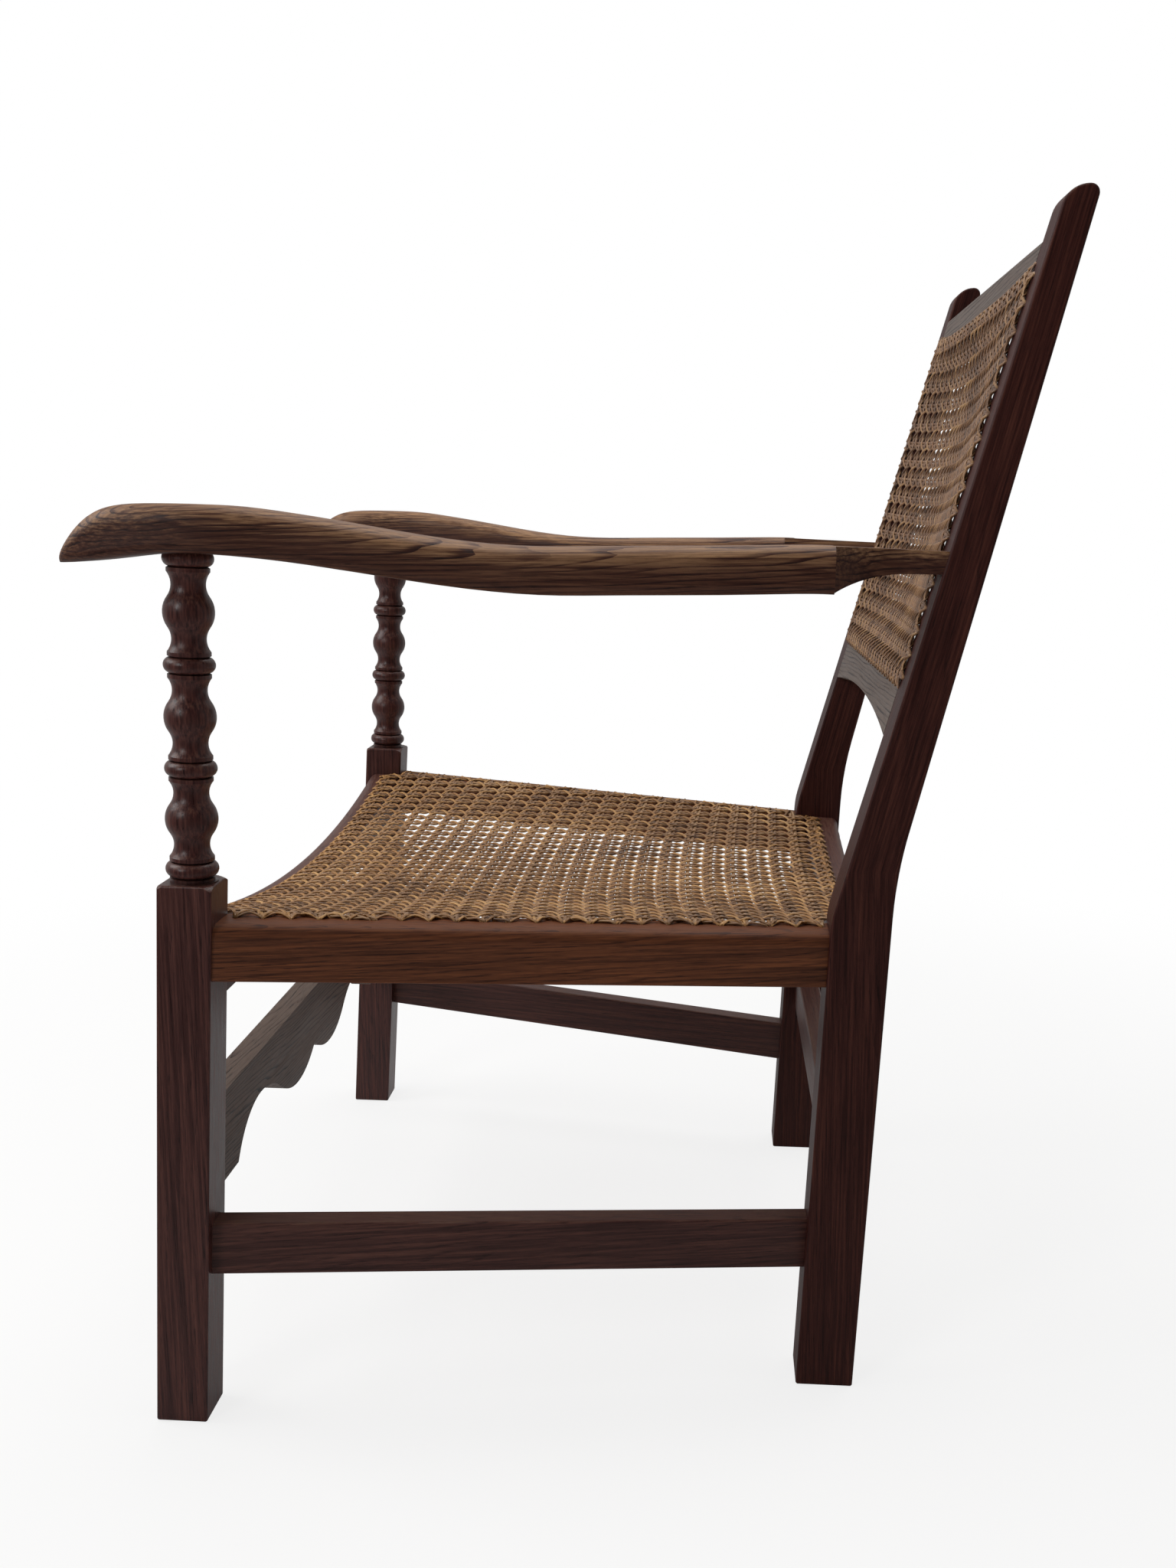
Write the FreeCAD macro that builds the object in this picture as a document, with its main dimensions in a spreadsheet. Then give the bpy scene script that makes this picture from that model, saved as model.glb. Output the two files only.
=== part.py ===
import FreeCAD, Part
import math
import os

from FreeCAD import Placement, Rotation, Vector

# Open armchair of dark stained oak with a hand-woven cane seat and back.
# Chair space: X to the sitter's left, Y to the rear, Z up, in millimetres. While the pieces are
# drawn, Y is measured from the front face of the front legs at the floor; the finished pieces are
# then placed so that the chair stands centred on the origin.

SIZES = {
    # Front legs: square below, bobbin turned above
    "front_width": 668,
    "leg_section": 38,
    "leg_rake": 3.4,
    "block_rise": 28,
    "edge_round": 1.8,
    "shoulder_drop": 4.5,
    "cope_allowance": 6,
    # Turned part of the front legs
    "turning_rake": 2.3,
    "turning_taper": 0.07,
    "ball_diameter": 34.6,
    "ring_diameter": 34.6,
    "disc_diameter": 29.2,
    "neck_diameter": 23.2,
    "ring_height": 10.6,
    "disc_height": 3.2,
    "groove_depth": 1.5,
    "groove_lip": 0.8,
    "ball_spacing": 64,
    "base_step": 3.4,
    "arm_pin_diameter": 20,
    "arm_pin_length": 15,
    # Rear posts: leg and back upright in one
    "rear_width": 495,
    "post_width": 41,
    "post_depth": 43.7,
    "post_distance": 475,
    "post_lower_rake": 1.7,
    "post_upper_rake": 14.8,
    "post_front_bend_rise": 11,
    "post_back_bend_rise": 46,
    "post_height": 867,
    "post_top_depth": 22,
    "post_top_width": 31,
    "front_bend_radius": 80,
    "back_bend_radius": 320,
    "post_top_front_radius": 18,
    "post_top_back_radius": 6,
    # Seat rails
    "seat_front_height": 380,
    "seat_fall": 18,
    "side_rail_width": 35,
    "side_rail_height": 40,
    "side_rail_setback": 3,
    "side_rail_round": 9,
    "front_rail_thickness": 32,
    "front_rail_height": 58,
    "front_rail_setback": 4,
    "front_rail_round": 10,
    "front_dip": 32,
    "rear_rail_thickness": 30,
    "rear_rail_height": 46,
    "rear_rail_setback": 2,
    "rear_rail_round": 6,
    "rear_dip": 15,
    # Stretchers
    "stretcher_height": 40,
    "side_stretcher_thickness": 20,
    "side_stretcher_setback": 8.5,
    "side_stretcher_front_bottom": 116,
    "side_stretcher_rear_bottom": 95.3,
    "front_stretcher_top": 229,
    "front_stretcher_depth": 68,
    "front_stretcher_thickness": 21,
    "front_stretcher_setback": 2.3,
    "scallop_cusp_rise": 16,
    "scallop_arch_rise": 33,
    "scallop_lobe_place": 56,
    "scallop_arch_place": 166,
    "scallop_tab_length": 66,
    "rear_stretcher_bottom": 160,
    "rear_stretcher_thickness": 20,
    # Back rails
    "back_rail_thickness": 21,
    "top_rail_drop": 29,
    "top_rail_height": 40,
    "top_rail_round": 3,
    "lower_rail_rise": 190,
    "lower_rail_height": 39,
    "lower_rail_arch": 11.5,
    # Arms
    "arm_seat_height": 628,
    "arm_front_thickness": 31,
    "arm_end_fall": 22.5,
    "arm_end_thickness": 31.5,
    "arm_hollow_depth": 2.5,
    "arm_hollow_distance": 222,
    "arm_belly_depth": 2,
    "arm_belly_distance": 243,
    "arm_nose_reach": 31,
    "arm_nose_drop": 7,
    "arm_nose_thickness": 3,
    "arm_nose_power": 4.4,
    "arm_nose_width": 14,
    "arm_front_width": 57,
    "arm_wide_length": 506,
    "arm_end_width": 55,
    "arm_top_round": 11,
    "arm_under_round": 6,
    "neck_drop": 4,
    "neck_thickness": 14.5,
    "neck_width": 24,
    "neck_cove": 52,
    "neck_step": 14,
    "neck_root": 10,
    "neck_inset": 11,
    # Woven cane panels
    "cane_thickness": 3,
    "cane_lift": 0.6,
    "cane_side_clearance": 0.3,
    "seat_cane_front_margin": 14,
    "seat_cane_rear_margin": 18,
    "seat_cane_side_margin": 22,
    "back_cane_top_margin": 23.5,
    "back_cane_lower_margin": 15,
    "back_cane_overlap": 11,
    "cane_opening": 26,
    "cane_bar": 20,
    # Dowels of the glued joints
    "dowel_diameter": 9,
    "dowel_length": 36,
    "dowel_spacing": 20,
    "front_dowel_inset": 9,
    "rear_dowel_inset": 11,
    "dowel_clearance": 0.1,
    "dowel_end_clearance": 0.5,
    "arm_dowel_diameter": 7,
}

doc = FreeCAD.newDocument("open_armchair")
sheet = doc.addObject("Spreadsheet::Sheet", "Sizes")
for row, (alias, number) in enumerate(SIZES.items(), start=1):
    sheet.set(f"A{row}", alias)
    sheet.set(f"B{row}", str(number))
    sheet.setAlias(f"B{row}", alias)
doc.recompute()


def size(alias):
    """Read one driving size from the sheet."""
    return float(sheet.get(alias))


def slope(alias):
    """Horizontal run per millimetre of height of a raked piece."""
    return math.tan(math.radians(size(alias)))


# Places shared by several pieces

HALF_FRONT = size("front_width") / 2
HALF_REAR = size("rear_width") / 2
LEG_INNER = HALF_FRONT - size("leg_section")
POST_INNER = HALF_REAR - size("post_width")
LEG_AXIS_X = HALF_FRONT - size("leg_section") / 2
SEAT_FRONT_HEIGHT = size("seat_front_height")
SEAT_REAR_HEIGHT = SEAT_FRONT_HEIGHT - size("seat_fall")
BLOCK_TOP = SEAT_FRONT_HEIGHT + size("block_rise")
FRONT_BEND = SEAT_REAR_HEIGHT + size("post_front_bend_rise")
BACK_BEND = SEAT_REAR_HEIGHT + size("post_back_bend_rise")
TOP_RAIL_TOP = size("post_height") - size("top_rail_drop")
LOWER_RAIL_TOP = SEAT_REAR_HEIGHT + size("lower_rail_rise")
ARM_END_UNDER = size("arm_seat_height") - size("arm_end_fall")
ARM_END_TOP = ARM_END_UNDER + size("arm_end_thickness")
NECK_TOP = ARM_END_TOP - size("neck_drop")


def leg_front(height):
    """Y of the front face of a front leg."""
    return height * slope("leg_rake")


def leg_back(height):
    """Y of the back face of a front leg."""
    return leg_front(height) + size("leg_section")


def turned_axis(height):
    """Y of the axis of a front leg's turned part, which starts in the middle of the block."""
    start = (leg_front(BLOCK_TOP) + leg_back(BLOCK_TOP)) / 2
    return start + (height - BLOCK_TOP) * slope("turning_rake")


def post_front(height):
    """Y of the front face of a rear post, below or above its bend."""
    lower = size("post_distance") + min(height, FRONT_BEND) * slope("post_lower_rake")
    return lower + max(height - FRONT_BEND, 0) * slope("post_upper_rake")


def post_back_lower(height):
    """Y of the back face of a rear post below its bend."""
    return size("post_distance") + size("post_depth") + height * slope("post_lower_rake")


POST_TOP_BACK = post_front(size("post_height")) + size("post_top_depth")

# The seat plane holds the tops of the side rails and falls to the rear.
SEAT_FRONT_Y = leg_back(SEAT_FRONT_HEIGHT)
SEAT_REAR_Y = post_front(SEAT_REAR_HEIGHT)
SEAT_RUN = SEAT_REAR_Y - SEAT_FRONT_Y
SEAT_LENGTH = math.hypot(SEAT_RUN, size("seat_fall"))
SEAT_TILT = -math.degrees(math.atan2(size("seat_fall"), SEAT_RUN))
SEAT_PLACE = Placement(
    Vector(0, SEAT_FRONT_Y, SEAT_FRONT_HEIGHT), Rotation(Vector(1, 0, 0), SEAT_TILT)
)

# The back plane holds the front faces of the upper posts and of the back rails.
BACK_PLACE = Placement(
    Vector(0, post_front(FRONT_BEND), FRONT_BEND),
    Rotation(Vector(1, 0, 0), -size("post_upper_rake")),
)


def up_the_back(height):
    """Distance along the back plane from the bend of the posts to a height."""
    return (height - FRONT_BEND) / math.cos(math.radians(size("post_upper_rake")))


# Drawing helpers


def origin_plane(body, role):
    """Find one of a body's own origin planes."""
    return next(item for item in body.Origin.OriginFeatures if item.Role == role)


def sketch_on(body, name, role, offset, curves):
    """Draw curves on an origin plane of a body, offset along the plane's normal."""
    sketch = body.newObject("Sketcher::SketchObject", name)
    sketch.AttachmentSupport = [(origin_plane(body, role), "")]
    sketch.MapMode = "FlatFace"
    sketch.AttachmentOffset = Placement(Vector(0, 0, offset), Rotation())
    sketch.addGeometry(curves, False)
    return sketch


def pad(body, name, profile, length_expression, backwards=False):
    """Pad a profile by a length taken from the sheet."""
    feature = body.newObject("PartDesign::Pad", name)
    feature.Profile = profile
    feature.setExpression("Length", length_expression)
    feature.Reversed = backwards
    body.Tip = feature
    doc.recompute()
    return feature


def soften(body, name, base, radius_expression, edges):
    """Round chosen edges of the last feature of a body."""
    feature = body.newObject("PartDesign::Fillet", name)
    feature.Base = (base, edges)
    feature.setExpression("Radius", radius_expression)
    body.Tip = feature
    doc.recompute()
    return feature


def edges_where(shape, test):
    """Names of the edges whose every vertex passes a test."""
    return [
        f"Edge{number}"
        for number, edge in enumerate(shape.Edges, start=1)
        if all(test(vertex.Point) for vertex in edge.Vertexes)
    ]


def edges_along(shape, direction, least_length):
    """Names of the long edges that run mostly along a direction."""
    names = []
    for number, edge in enumerate(shape.Edges, start=1):
        chord = edge.Vertexes[-1].Point - edge.Vertexes[0].Point
        if edge.Length > least_length and abs(chord.dot(direction)) > 0.9 * chord.Length:
            names.append(f"Edge{number}")
    return names


def segment(start, end):
    """Straight line between two points of a plane."""
    return Part.LineSegment(Vector(*start, 0), Vector(*end, 0))


def arc(start, middle, end):
    """Arc through three points of a plane."""
    return Part.Arc(Vector(*start, 0), Vector(*middle, 0), Vector(*end, 0))


def rounded_outline(corners):
    """Closed outline of straight runs whose corners (x, y, radius) are tangent arcs."""
    joints = []
    for index, (x, y, radius) in enumerate(corners):
        here = Vector(x, y, 0)
        before = Vector(*corners[index - 1][:2], 0)
        after = Vector(*corners[(index + 1) % len(corners)][:2], 0)
        to_before = (before - here).normalize()
        to_after = (after - here).normalize()
        half_angle = to_before.getAngle(to_after) / 2
        reach = radius / math.tan(half_angle)
        middle_way = (to_before + to_after).normalize()
        crown = here + middle_way * (radius / math.sin(half_angle) - radius)
        joints.append((here + to_before * reach, crown, here + to_after * reach, radius))
    curves = []
    for index, (start, crown, end, radius) in enumerate(joints):
        if radius > 0:
            curves.append(Part.Arc(start, crown, end))
        following = joints[(index + 1) % len(joints)][0]
        if following.distanceToPoint(end) > 1e-6:
            curves.append(Part.LineSegment(end, following))
    return curves


def polygon(points):
    """Closed outline of straight runs."""
    return [segment(start, end) for start, end in zip(points, points[1:] + points[:1])]


def new_body(name):
    """Start a body for one piece."""
    return doc.addObject("PartDesign::Body", name)


def cut(name, base, tools):
    """Take tools away from a base piece."""
    for number, tool in enumerate(tools, start=1):
        result = doc.addObject("Part::Cut", f"{name}_{number}")
        result.Base = base
        result.Tool = tool
        base = result
    doc.recompute()
    return base


def gather(name, solids):
    """Hold several solids as one object."""
    group = doc.addObject("Part::Compound", name)
    group.Links = solids
    return group


# Dowels: each joint records its dowels, and the pieces on both sides take matching holes.

dowels = {"seat_rail_dowels": [], "stretcher_dowels": [], "back_rail_dowels": [], "arm_dowels": []}
holes = {}


def round_bar(name, diameter_expression, length_expression, middle, axis, length):
    """Cylinder centred on a point."""
    bar = doc.addObject("Part::Cylinder", name)
    bar.setExpression("Radius", f"({diameter_expression}) / 2")
    bar.setExpression("Height", length_expression)
    turn = Rotation(Vector(0, 0, 1), axis)
    bar.Placement = Placement(middle - axis.normalize() * (length / 2), turn)
    return bar


def dowel_joint(group, members, middle, axis, diameter="dowel_diameter"):
    """Put a dowel across a joint face, and its mirror image on the right side."""
    for side in (1, -1):
        place = Vector(side * middle.x, middle.y, middle.z)
        way = Vector(side * axis.x, axis.y, axis.z)
        label = f"{group}_{len(dowels[group])}"
        dowel_size = f"Sizes.{diameter}"
        length = size("dowel_length")
        dowels[group].append(
            round_bar(label, dowel_size, "Sizes.dowel_length", place, way, length)
        )
        bore = round_bar(
            f"{label}_bore",
            f"{dowel_size} + 2 * Sizes.dowel_clearance",
            "Sizes.dowel_length + 2 * Sizes.dowel_end_clearance",
            place,
            way,
            length + 2 * size("dowel_end_clearance"),
        )
        for member in members:
            crosses_middle = member in CROSS_PIECES
            if crosses_middle or side == 1:
                holes.setdefault(member, []).append(bore)


CROSS_PIECES = (
    "seat_rail_front",
    "seat_rail_rear",
    "front_stretcher",
    "rear_stretcher",
    "back_top_rail",
    "back_lower_rail",
)


def front_leg():
    """Left front leg: square block below, turned balls between rings above, pin on top."""
    body = new_body("front_leg")
    outline = polygon(
        [
            (leg_front(0), 0),
            (leg_back(0), 0),
            (leg_back(BLOCK_TOP), BLOCK_TOP),
            (leg_front(BLOCK_TOP), BLOCK_TOP),
        ]
    )
    side = sketch_on(body, "front_leg_side", "YZ_Plane", LEG_INNER, outline)
    side.setExpression("AttachmentOffset.Base.z", "Sizes.front_width / 2 - Sizes.leg_section")
    block = pad(body, "front_leg_block", side, "Sizes.leg_section")
    every_edge = edges_where(block.Shape, lambda point: True)
    soften(body, "front_leg_edges", block, "Sizes.edge_round", every_edge)
    on_the_lathe(body, "front_leg_shoulder", "PartDesign::Groove", shoulder_profile())
    on_the_lathe(body, "front_leg_turned", "PartDesign::Revolution", turned_profile())
    return body


def on_the_lathe(body, name, kind, profile):
    """Turn a profile round the axis of a front leg's turned part, to add to the leg or cut from it."""
    turning = sketch_on(body, f"{name}_profile", "YZ_Plane", LEG_AXIS_X, profile)
    turning.setExpression("AttachmentOffset.Base.z", "(Sizes.front_width - Sizes.leg_section) / 2")
    axis_start = turned_point(0, -size("base_step"))
    axis_end = turned_point(0, turned_length() + size("arm_pin_length"))
    turning.addGeometry(segment(axis_start, axis_end), True)
    turned = body.newObject(kind, name)
    turned.Profile = turning
    turned.ReferenceAxis = (turning, ["Axis0"])
    turned.Angle = 360
    body.Tip = turned
    doc.recompute()


def shoulder_profile():
    """Closed half profile of the wood that the lathe takes off the upper corners of the block."""
    half = size("leg_section") / 2
    drop = size("shoulder_drop")
    inner = half - size("edge_round")
    outer = half * math.sqrt(2)
    clear = outer + drop
    crown = turned_point((inner + 3 * outer) / 4, -drop / 3)
    start = turned_point(inner, 0)
    end = turned_point(outer, -drop)
    rest = [end, turned_point(clear, -drop), turned_point(clear, drop), turned_point(inner, drop), start]
    return [arc(start, crown, end)] + [segment(a, b) for a, b in zip(rest, rest[1:])]


def turned_length():
    """Length of the turning along the leg, from the block to just inside the arm."""
    seated = size("arm_seat_height") + size("edge_round") - BLOCK_TOP
    return seated / math.cos(math.radians(size("turning_rake")))


def turned_point(radius, along):
    """Point of the turned profile in the leg's side view, with the turning's rake."""
    rake = math.radians(size("turning_rake"))
    return (
        turned_axis(BLOCK_TOP) + along * math.sin(rake) - radius * math.cos(rake),
        BLOCK_TOP + along * math.cos(rake) + radius * math.sin(rake),
    )


def cove_beside_ball(half_pitch):
    """Hollow that leaves the ball tangentially and ends at the ring's disc.

    Returns the hollow's radius and its centre's distance from the ball along the leg.
    """
    ball = size("ball_diameter") / 2
    neck = size("neck_diameter") / 2
    disc = size("disc_diameter") / 2
    disc_place = half_pitch - size("ring_height") / 2 - size("disc_height")

    def centre_place(radius):
        return math.sqrt((ball - neck) * (ball + neck + 2 * radius))

    def end_place(radius):
        step = disc - neck
        return centre_place(radius) + math.sqrt(step * (2 * radius - step))

    low = (disc - neck) / 2
    high = disc_place
    for _ in range(60):
        middle = (low + high) / 2
        if end_place(middle) < disc_place:
            low = middle
        else:
            high = middle
    return low, centre_place(low)


def turned_profile():
    """Closed half profile of the turning, sunk a little into the block and thicker towards it.

    Rings between grooved discs part the balls, hollows join both, and a pin for the arm ends it.
    """
    ball = size("ball_diameter") / 2
    ring = size("ring_diameter") / 2
    disc = size("disc_diameter") / 2
    root = disc - size("groove_depth")
    neck = size("neck_diameter") / 2
    pin = size("arm_pin_diameter") / 2
    half_ring = size("ring_height") / 2
    lip = half_ring + size("groove_lip")
    length = turned_length()
    first_ring = size("base_step") + half_ring
    last_ring = length - half_ring
    ball_count = int((last_ring - first_ring) / size("ball_spacing"))
    pitch = (last_ring - first_ring) / ball_count
    cove_radius, cove_place = cove_beside_ball(pitch / 2)
    cove_centre = neck + cove_radius
    touch = ball / (ball + cove_radius)
    disc_end = pitch / 2 - half_ring - size("disc_height")

    curves = []
    sunk = -size("base_step")
    here = turned_point(0, sunk)

    def line_to(radius, along):
        nonlocal here
        there = turned_point(radius, along)
        curves.append(segment(here, there))
        here = there

    def arc_to(middle, end):
        nonlocal here
        there = turned_point(*end)
        curves.append(arc(here, turned_point(*middle), there))
        here = there

    def thick(radius, along):
        return radius * (1 + size("turning_taper") * (0.5 - along / length)), along

    line_to(*thick(disc, sunk))
    for number in range(ball_count):
        ring_place = first_ring + number * pitch
        ball_place = ring_place + pitch / 2
        line_to(*thick(disc, ring_place - lip))
        line_to(*thick(root, ring_place - half_ring))
        arc_to(thick(ring, ring_place), thick(root, ring_place + half_ring))
        line_to(*thick(disc, ring_place + lip))
        line_to(*thick(disc, ball_place - disc_end))
        side = cove_centre * touch
        rise = cove_place * touch
        arc_to(thick(neck, ball_place - cove_place), thick(side, ball_place - rise))
        arc_to(thick(ball, ball_place), thick(side, ball_place + rise))
        arc_to(thick(neck, ball_place + cove_place), thick(disc, ball_place + disc_end))
    line_to(*thick(disc, last_ring - lip))
    line_to(*thick(root, last_ring - half_ring))
    arc_to(thick(ring, last_ring), thick(root, last_ring + half_ring))
    line_to(pin, length)
    line_to(pin, length + size("arm_pin_length"))
    line_to(0, length + size("arm_pin_length"))
    line_to(0, sunk)
    return curves


def rear_post():
    """Left rear post: leg and raked back upright in one bent piece that tapers to its top."""
    body = new_body("rear_post")
    top = size("post_height")
    outline = rounded_outline(
        [
            (post_front(0), 0, 0),
            (post_back_lower(0), 0, 0),
            (post_back_lower(BACK_BEND), BACK_BEND, size("back_bend_radius")),
            (POST_TOP_BACK, top, size("post_top_back_radius")),
            (post_front(top), top, size("post_top_front_radius")),
            (post_front(FRONT_BEND), FRONT_BEND, size("front_bend_radius")),
        ]
    )
    side = sketch_on(body, "rear_post_side", "YZ_Plane", POST_INNER, outline)
    side.setExpression("AttachmentOffset.Base.z", "Sizes.rear_width / 2 - Sizes.post_width")
    pad(body, "rear_post_pad", side, "Sizes.post_width")

    spare = HALF_REAR + size("post_width")
    wedge = polygon(
        [
            (HALF_REAR, BACK_BEND),
            (spare, BACK_BEND),
            (spare, top),
            (POST_INNER + size("post_top_width"), top),
        ]
    )
    taper = body.newObject("PartDesign::Pocket", "rear_post_taper")
    taper.Profile = sketch_on(body, "rear_post_wedge", "XZ_Plane", 0, wedge)
    taper.Type = "ThroughAll"
    body.Tip = taper
    doc.recompute()
    across_bend = edges_where(taper.Shape, lambda point: abs(point.z - BACK_BEND) < 1e-6)
    rims = [name for name in edges_where(taper.Shape, lambda point: True) if name not in across_bend]
    soften(body, "rear_post_edges", taper, "Sizes.edge_round", rims)
    return body


def skew_bar(name, corners_radii, start, run):
    """Bar whose upright section, drawn in X and Z, is drawn out along a skew run."""
    section = doc.addObject("Sketcher::SketchObject", f"{name}_section")
    section.addGeometry(rounded_outline(corners_radii), False)
    section.Placement = Placement(start, Rotation(Vector(1, 0, 0), 90))
    bar = doc.addObject("Part::Extrusion", f"{name}_bar")
    bar.Base = section
    bar.DirMode = "Custom"
    bar.Dir = run
    bar.LengthFwd = run.Length
    bar.Solid = True
    doc.recompute()
    return bar


def side_rail(leg, post):
    """Left seat rail from the front leg to the rear post, rounded over on its outer top edge."""
    width = size("side_rail_width")
    height = size("side_rail_height")
    ease_radius = size("edge_round")
    front = Vector(HALF_FRONT - size("side_rail_setback"), SEAT_FRONT_Y, SEAT_FRONT_HEIGHT)
    rear = Vector(HALF_REAR - size("side_rail_setback"), SEAT_REAR_Y, SEAT_REAR_HEIGHT)
    run = rear - front
    inside_leg = size("cope_allowance") / SEAT_RUN
    section = [
        (0, 0, size("side_rail_round")),
        (0, -height, ease_radius),
        (-width, -height, ease_radius),
        (-width, 0, ease_radius),
    ]
    bar = skew_bar("side_rail", section, front - run * inside_leg, run * (1 + 2 * inside_leg))
    return cut("side_rail_coped", bar, [leg, post])


def side_stretcher(leg, post):
    """Left side stretcher from the front leg to the rear post."""
    thickness = size("side_stretcher_thickness")
    height = size("stretcher_height")
    ease_radius = size("edge_round")
    setback = size("side_stretcher_setback")
    low_front = size("side_stretcher_front_bottom")
    low_rear = size("side_stretcher_rear_bottom")
    front = Vector(HALF_FRONT - setback, leg_back(low_front), low_front)
    rear = Vector(HALF_REAR - setback, post_front(low_rear), low_rear)
    run = rear - front
    inside_leg = size("cope_allowance") / run.y
    section = [
        (0, 0, ease_radius),
        (0, height, ease_radius),
        (-thickness, height, ease_radius),
        (-thickness, 0, ease_radius),
    ]
    bar = skew_bar("side_stretcher", section, front - run * inside_leg, run * (1 + 2 * inside_leg))
    return cut("side_stretcher_coped", bar, [leg, post])


def level_arc(crown, end):
    """Arc that leaves its crown level and runs to an end point."""
    run = end[0] - crown[0]
    rise = end[1] - crown[1]
    radius = (run * run + rise * rise) / (2 * abs(rise))
    centre = (crown[0], crown[1] + math.copysign(radius, rise))
    half_turn = math.asin(min(1, abs(run) / radius)) / 2
    middle = (
        centre[0] + math.copysign(radius * math.sin(half_turn), run),
        centre[1] - math.copysign(radius * math.cos(half_turn), rise),
    )
    return arc(crown, middle, end)


def cross_piece(name, outline, front, thickness_expression, place=Placement()):
    """Piece across the chair: an outline in X and Z, padded to the rear from its front face."""
    body = new_body(name)
    profile = sketch_on(body, f"{name}_outline", "XZ_Plane", -front, outline)
    padded = pad(body, f"{name}_pad", profile, thickness_expression, backwards=True)
    body.Placement = place
    return body, padded


def side_rail_inner(along):
    """Half width between the side rails at a distance along the seat plane."""
    outer = HALF_FRONT - size("side_rail_setback")
    return outer - along * (HALF_FRONT - HALF_REAR) / SEAT_LENGTH - size("side_rail_width")


FRONT_RAIL_FACE = size("front_rail_setback") - size("leg_section")
REAR_RAIL_BACK = SEAT_LENGTH + size("post_depth") - size("rear_rail_setback")
CANE_FRONT = FRONT_RAIL_FACE + size("seat_cane_front_margin")
CANE_REAR = REAR_RAIL_BACK - size("seat_cane_rear_margin")


def scooped_outline(half_length, height, dip, half_span):
    """Rail outline with a level lower edge and a top that dips below the seat plane.

    The top is the arc that meets the seat plane at the half span, trimmed to the rail's length.
    """
    radius = (half_span * half_span + dip * dip) / (2 * dip)
    end_level = radius - dip - math.sqrt(radius * radius - half_length * half_length)
    left_top = (-half_length, end_level)
    right_top = (half_length, end_level)
    right_low = (half_length, -height)
    left_low = (-half_length, -height)
    outline = [
        arc(left_top, (0, -dip), right_top),
        segment(right_top, right_low),
        segment(right_low, left_low),
        segment(left_low, left_top),
    ]
    return outline, end_level


def front_rail():
    """Front seat rail, scooped on top and rounded over towards the front."""
    outline, end_level = scooped_outline(
        LEG_INNER, size("front_rail_height"), size("front_dip"), side_rail_inner(CANE_FRONT)
    )
    body, rail = cross_piece(
        "front_rail", outline, FRONT_RAIL_FACE, "Sizes.front_rail_thickness", SEAT_PLACE
    )
    lip = edges_where(
        rail.Shape,
        lambda point: abs(point.y - FRONT_RAIL_FACE) < 1e-6 and abs(point.z - end_level) < 1e-6,
    )
    soften(body, "front_rail_lip", rail, "Sizes.front_rail_round", lip)
    return body


def rear_rail():
    """Rear seat rail, scooped on top and rounded over towards the rear."""
    outline, end_level = scooped_outline(
        POST_INNER, size("rear_rail_height"), size("rear_dip"), side_rail_inner(CANE_REAR)
    )
    front = REAR_RAIL_BACK - size("rear_rail_thickness")
    body, rail = cross_piece("rear_rail", outline, front, "Sizes.rear_rail_thickness", SEAT_PLACE)
    lip = edges_where(
        rail.Shape,
        lambda point: abs(point.y - REAR_RAIL_BACK) < 1e-6 and abs(point.z - end_level) < 1e-6,
    )
    soften(body, "rear_rail_lip", rail, "Sizes.rear_rail_round", lip)
    return body


FRONT_STRETCHER_FACE = leg_front(size("front_stretcher_top")) + size("front_stretcher_setback")


def front_stretcher():
    """Front stretcher board with a level top and a scalloped lower edge."""
    top = size("front_stretcher_top")
    low = top - size("front_stretcher_depth")
    cusp = (0, low + size("scallop_cusp_rise"))
    lobe = (size("scallop_lobe_place"), low)
    arch = (size("scallop_arch_place"), low + size("scallop_arch_rise"))
    turn = ((lobe[0] + arch[0]) / 2, (lobe[1] + arch[1]) / 2)
    tab = (LEG_INNER - size("scallop_tab_length"), low)
    outline = [segment((-LEG_INNER, top), (LEG_INNER, top))]
    for side in (1, -1):

        def at(point, side=side):
            return (side * point[0], point[1])

        outline += [
            level_arc(at(lobe), at(cusp)),
            level_arc(at(lobe), at(turn)),
            level_arc(at(arch), at(turn)),
            level_arc(at(arch), at(tab)),
            segment(at(tab), at((LEG_INNER, low))),
            segment(at((LEG_INNER, low)), at((LEG_INNER, top))),
        ]
    body, _ = cross_piece(
        "scalloped_stretcher", outline, FRONT_STRETCHER_FACE, "Sizes.front_stretcher_thickness"
    )
    return body


def rear_stretcher_front():
    """Y of the rear stretcher's front face: centred in the depth of the posts."""
    middle_height = size("rear_stretcher_bottom") + size("stretcher_height") / 2
    spare = size("post_depth") - size("rear_stretcher_thickness")
    return post_front(middle_height) + spare / 2


def rear_stretcher():
    """Rear stretcher, a plain bar between the rear legs."""
    low = size("rear_stretcher_bottom")
    high = low + size("stretcher_height")
    outline = polygon([(-POST_INNER, low), (POST_INNER, low), (POST_INNER, high), (-POST_INNER, high)])
    body, bar = cross_piece(
        "plain_stretcher", outline, rear_stretcher_front(), "Sizes.rear_stretcher_thickness"
    )
    long_edges = edges_along(bar.Shape, Vector(1, 0, 0), POST_INNER)
    soften(body, "plain_stretcher_edges", bar, "Sizes.edge_round", long_edges)
    return body


def top_rail():
    """Top rail of the back, flush with the front of the posts."""
    high = up_the_back(TOP_RAIL_TOP)
    low = high - size("top_rail_height")
    outline = polygon([(-POST_INNER, low), (POST_INNER, low), (POST_INNER, high), (-POST_INNER, high)])
    body, rail = cross_piece("top_rail", outline, 0, "Sizes.back_rail_thickness", BACK_PLACE)
    crest = edges_where(rail.Shape, lambda point: abs(point.z - high) < 1e-6)
    crest = [name for name in crest if name in edges_along(rail.Shape, Vector(1, 0, 0), POST_INNER)]
    soften(body, "top_rail_crest", rail, "Sizes.top_rail_round", crest)
    return body


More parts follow.
